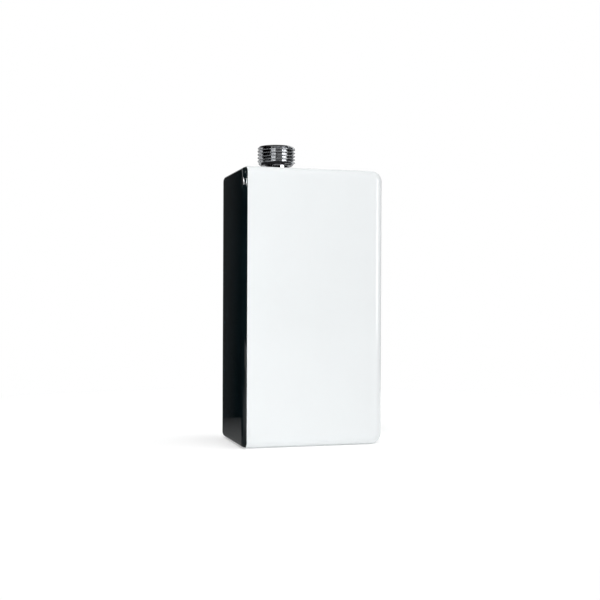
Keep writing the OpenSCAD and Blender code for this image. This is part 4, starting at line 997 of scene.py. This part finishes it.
class HEATER_OT_stage(bpy.types.Operator):
    """Sets up the floor, the light and the camera"""
    bl_idname = "heater.stage"
    bl_label = "Studio stage"

    def execute(self, context):
        self.add_world(context.scene)
        self.add_floor()
        self.add_lamps()
        self.add_strips()
        self.add_cards(context)
        self.add_camera(context.scene)
        context.scene.view_settings.view_transform = "Standard"
        return {"FINISHED"}

    def add_world(self, scene):
        scene.world = scene.world or bpy.data.worlds.new("studio")
        tree = Tree(scene.world)
        background = tree.nodes["Background"]
        background.inputs["Color"].default_value = (1, 1, 1, 1)
        strength = tree.add("ShaderNodeMapRange", {
            "Value": tree.seen_directly(), "To Min": stage_settings().ambient, "To Max": 1.0})
        tree.links.new(strength.outputs["Result"], background.inputs["Strength"])

    def bare_material(self, name):
        material = bpy.data.materials.new(name)
        tree = Tree(material)
        tree.nodes.remove(tree.nodes["Principled BSDF"])
        return material, tree, tree.nodes["Material Output"].inputs["Surface"]

    def add_floor(self):
        """White paper that keeps the shadow near the heater and runs out into plain white"""
        stage = stage_settings()
        white, fade_from, fade_to = 0.86, 0.10, 0.35
        clear_selection()
        bpy.ops.mesh.primitive_plane_add(size=8)
        floor = take("studio_floor")
        material, tree, surface = self.bare_material("studio_floor")
        seen = tree.seen_directly()
        paper = tree.add("ShaderNodeBsdfDiffuse", {"Color": (white, white, white, 1)})
        strength = tree.add("ShaderNodeMapRange", {
            "Value": seen, "To Min": stage.floor_bounce, "To Max": stage.floor_glow})
        glow = tree.add("ShaderNodeEmission", {"Strength": strength.outputs["Result"]})
        lifted = tree.add("ShaderNodeAddShader", {0: paper.outputs[0], 1: glow.outputs[0]})
        place = tree.add("ShaderNodeTexCoord").outputs["Object"]
        reach = tree.add("ShaderNodeVectorMath", {0: place}, operation="LENGTH").outputs["Value"]
        fade = tree.add(
            "ShaderNodeMapRange", {"Value": reach, "From Min": fade_from, "From Max": fade_to},
            interpolation_type="SMOOTHSTEP")
        far = tree.add("ShaderNodeMath", {0: fade.outputs["Result"], 1: seen}, operation="MULTIPLY")
        plain = tree.add("ShaderNodeEmission")
        mix = tree.add("ShaderNodeMixShader", {
            "Fac": far.outputs[0], 1: lifted.outputs[0], 2: plain.outputs[0]})
        tree.links.new(mix.outputs[0], surface)
        floor.data.materials.append(material)

    def add_lamp(self, name, place, turn, size, watts):
        lamp = bpy.data.lights.new(name, "AREA")
        lamp.shape = "RECTANGLE"
        lamp.size, lamp.size_y = size
        lamp.energy = watts
        holder = bpy.data.objects.new(name, lamp)
        holder.location = place
        holder.rotation_euler = turn
        holder.visible_camera = False
        bpy.context.scene.collection.objects.link(holder)
        return holder

    def add_lamps(self):
        """Soft boxes that light the heater; mirrors see the cards instead"""
        stage = stage_settings()
        middle = Vector((0, 0, 0.08))
        for name, place, size, watts in (
            ("left_softbox", (-0.42, -0.42, 0.16), (0.35, 0.5), stage.left_lamp),
            ("right_softbox", (0.85, -0.05, 0.30), (0.5, 0.8), stage.right_lamp),
            ("top_softbox", (-0.05, -0.35, 1.1), (0.8, 0.6), stage.top_lamp),
            ("rear_softbox", (-0.15, 0.95, 0.45), (0.8, 0.8), stage.rear_lamp),
        ):
            turn = (middle - Vector(place)).to_track_quat("-Z", "Y").to_euler()
            self.add_lamp(name, place, turn, size, watts).visible_glossy = False

    def add_strips(self):
        """Thin lights that glint on the black cover's front edge and reach nothing else"""
        stage = stage_settings()
        lit = bpy.data.collections.new("cover_only")
        lit.objects.link(bpy.data.objects["black_cover"])
        thin = 0.006
        for name, place, turn, reach, watts in (
            ("left_strip", (-0.95, -0.205, 0.249), -QUARTER_TURN, 0.17, stage.left_strip),
            ("front_strip", (-0.12, -1.1, 0.266), 0, 0.42, stage.front_strip),
        ):
            strip = self.add_lamp(name, place, (QUARTER_TURN, 0, turn), (reach, thin), watts)
            strip.light_linking.receiver_collection = lit

    def add_cards(self, context):
        """Bright and dark cards that only mirrors see: name, corners, brightness and its change per metre"""
        stage = stage_settings()
        even = (0, 0, 0)
        ground = 0.0004
        for name, low, high, bright, slope in (
            ("card_left", (-1.25, -1.0, 0.41), (-0.38, -1.0, 0.80), stage.left_card, even),
            ("card_right", (0.48, -1.0, 0.0), (1.65, -1.0, 0.52), stage.right_card, even),
            ("card_floor", (-0.45, -0.10, ground), (-0.034, 0.115, ground), 0.206, (0, -1.44, 0)),
            ("card_floor_front", (-0.45, -0.60, ground), (-0.034, -0.10, ground), 0.75, (2.0, 0, 0)),
            ("flag_behind", (-0.10, 0.115, 0.0), (-0.056, 0.115, 0.168), 0.218, (3.2, 0, 0.08)),
            ("flag_left_rear", (-0.085, -0.03, 0.0), (-0.085, 0.115, 0.1495), 0.0, even),
            ("flag_over", (-0.25, 0.6, 0.2), (0.13, 0.6, 0.45), 0.0, even),
            ("flag_beside", (-0.45, -0.60, 0.0), (-0.45, 0.25, 0.17), 0.0, even),
            ("flag_right_rear", (-0.05, 0.25, 0.0), (0.60, 0.25, 0.24), 0.3, even),
            ("flag_right_beside", (0.45, -0.28, 0.0), (0.45, 0.50, 0.20), 0.0, even),
            ("flag_high", (-1.1, 0.6, 0.45), (0.05, 0.6, 1.8), 0.0, even),
            ("flag_top", (-1.25, -1.25, 1.3), (1.25, 0.6, 1.3), 0.1, even),
            ("flag_left", (-1.25, -0.90, 0.0), (-1.25, 0.70, 1.8), 0.0, even),
            ("flag_right", (1.25, -0.75, 0.0), (1.25, 1.20, 1.8), 0.0, even),
            ("flag_front", (-2.0, -1.25, 0.0), (2.0, -1.25, 1.8), 0.0, even),
        ):
            clear_selection()
            low, high = Vector(low), Vector(high)
            span = high - low
            if not span.z:
                turn, scale = (0, 0, 0), (span.x, span.y, 1)
            elif not span.y:
                turn, scale = (QUARTER_TURN, 0, 0), (span.x, span.z, 1)
            else:
                turn, scale = (QUARTER_TURN, 0, QUARTER_TURN), (span.y, span.z, 1)
            bpy.ops.mesh.primitive_plane_add(size=1, location=(low + high) / 2, rotation=turn)
            context.object.scale = scale
            card = take(name)
            card.data.materials.append(self.card_material(name, bright, slope))
            card.visible_camera = False
            card.visible_diffuse = False
            card.visible_shadow = False
            card.visible_transmission = False

    def card_material(self, name, bright, slope):
        material, tree, surface = self.bare_material(name)
        glow = tree.add("ShaderNodeEmission", {"Strength": bright})
        if any(slope):
            place = tree.add("ShaderNodeTexCoord").outputs["Object"]
            along = tree.add("ShaderNodeVectorMath", {0: place, 1: slope}, operation="DOT_PRODUCT")
            total = tree.add(
                "ShaderNodeMath", {0: along.outputs["Value"], 1: bright}, operation="ADD", use_clamp=True)
            tree.links.new(total.outputs[0], glow.inputs["Strength"])
        tree.links.new(glow.outputs[0], surface)
        return material

    def add_camera(self, scene):
        stage = stage_settings()
        data = bpy.data.cameras.new("camera")
        data.lens = stage.lens
        data.sensor_width = 36
        data.clip_start = 0.01
        camera = bpy.data.objects.new("camera", data)
        scene.collection.objects.link(camera)
        camera.matrix_world = (
            Matrix.Translation(stage.camera_place) @ Matrix.Rotation(-stage.camera_turn, 4, "Z")
            @ Matrix.Rotation(QUARTER_TURN, 4, "X") @ Matrix.Rotation(stage.camera_tilt, 4, "Z"))
        scene.camera = camera


OPERATORS = (
    HEATER_OT_inner_works,
    HEATER_OT_flow_switch,
    HEATER_OT_housing,
    HEATER_OT_end_cover,
    HEATER_OT_outlet_nipple,
    HEATER_OT_inlet_socket,
    HEATER_OT_grommets,
    HEATER_OT_cover_screws,
    HEATER_OT_stage,
)


class HEATER_PT_panel(bpy.types.Panel):
    """Lists the heater's pieces, sizes and colours"""
    bl_label = "Heater"
    bl_idname = "HEATER_PT_panel"
    bl_space_type = "VIEW_3D"
    bl_region_type = "UI"
    bl_category = "Heater"

    def draw(self, context):
        for operator in OPERATORS:
            self.layout.operator(operator.bl_idname)
        for group in (sizes(), finishes(), stage_settings()):
            column = self.layout.column()
            for name in group.__annotations__:
                column.prop(group, name)


CLASSES = (HeaterSizes, HeaterFinishes, HeaterStage, *OPERATORS, HEATER_PT_panel)


def register():
    for cls in CLASSES:
        bpy.utils.register_class(cls)
    bpy.types.Scene.heater_sizes = PointerProperty(type=HeaterSizes)
    bpy.types.Scene.heater_finishes = PointerProperty(type=HeaterFinishes)
    bpy.types.Scene.heater_stage = PointerProperty(type=HeaterStage)


def unregister():
    del bpy.types.Scene.heater_stage
    del bpy.types.Scene.heater_finishes
    del bpy.types.Scene.heater_sizes
    for cls in reversed(CLASSES):
        bpy.utils.unregister_class(cls)


def main():
    register()
    bpy.ops.heater.inner_works()
    bpy.ops.heater.flow_switch()
    bpy.ops.heater.housing()
    bpy.ops.heater.end_cover()
    bpy.ops.heater.outlet_nipple()
    bpy.ops.heater.inlet_socket()
    bpy.ops.heater.grommets()
    bpy.ops.heater.cover_screws()
    bpy.ops.heater.stage()


if __name__ == "__main__":
    main()
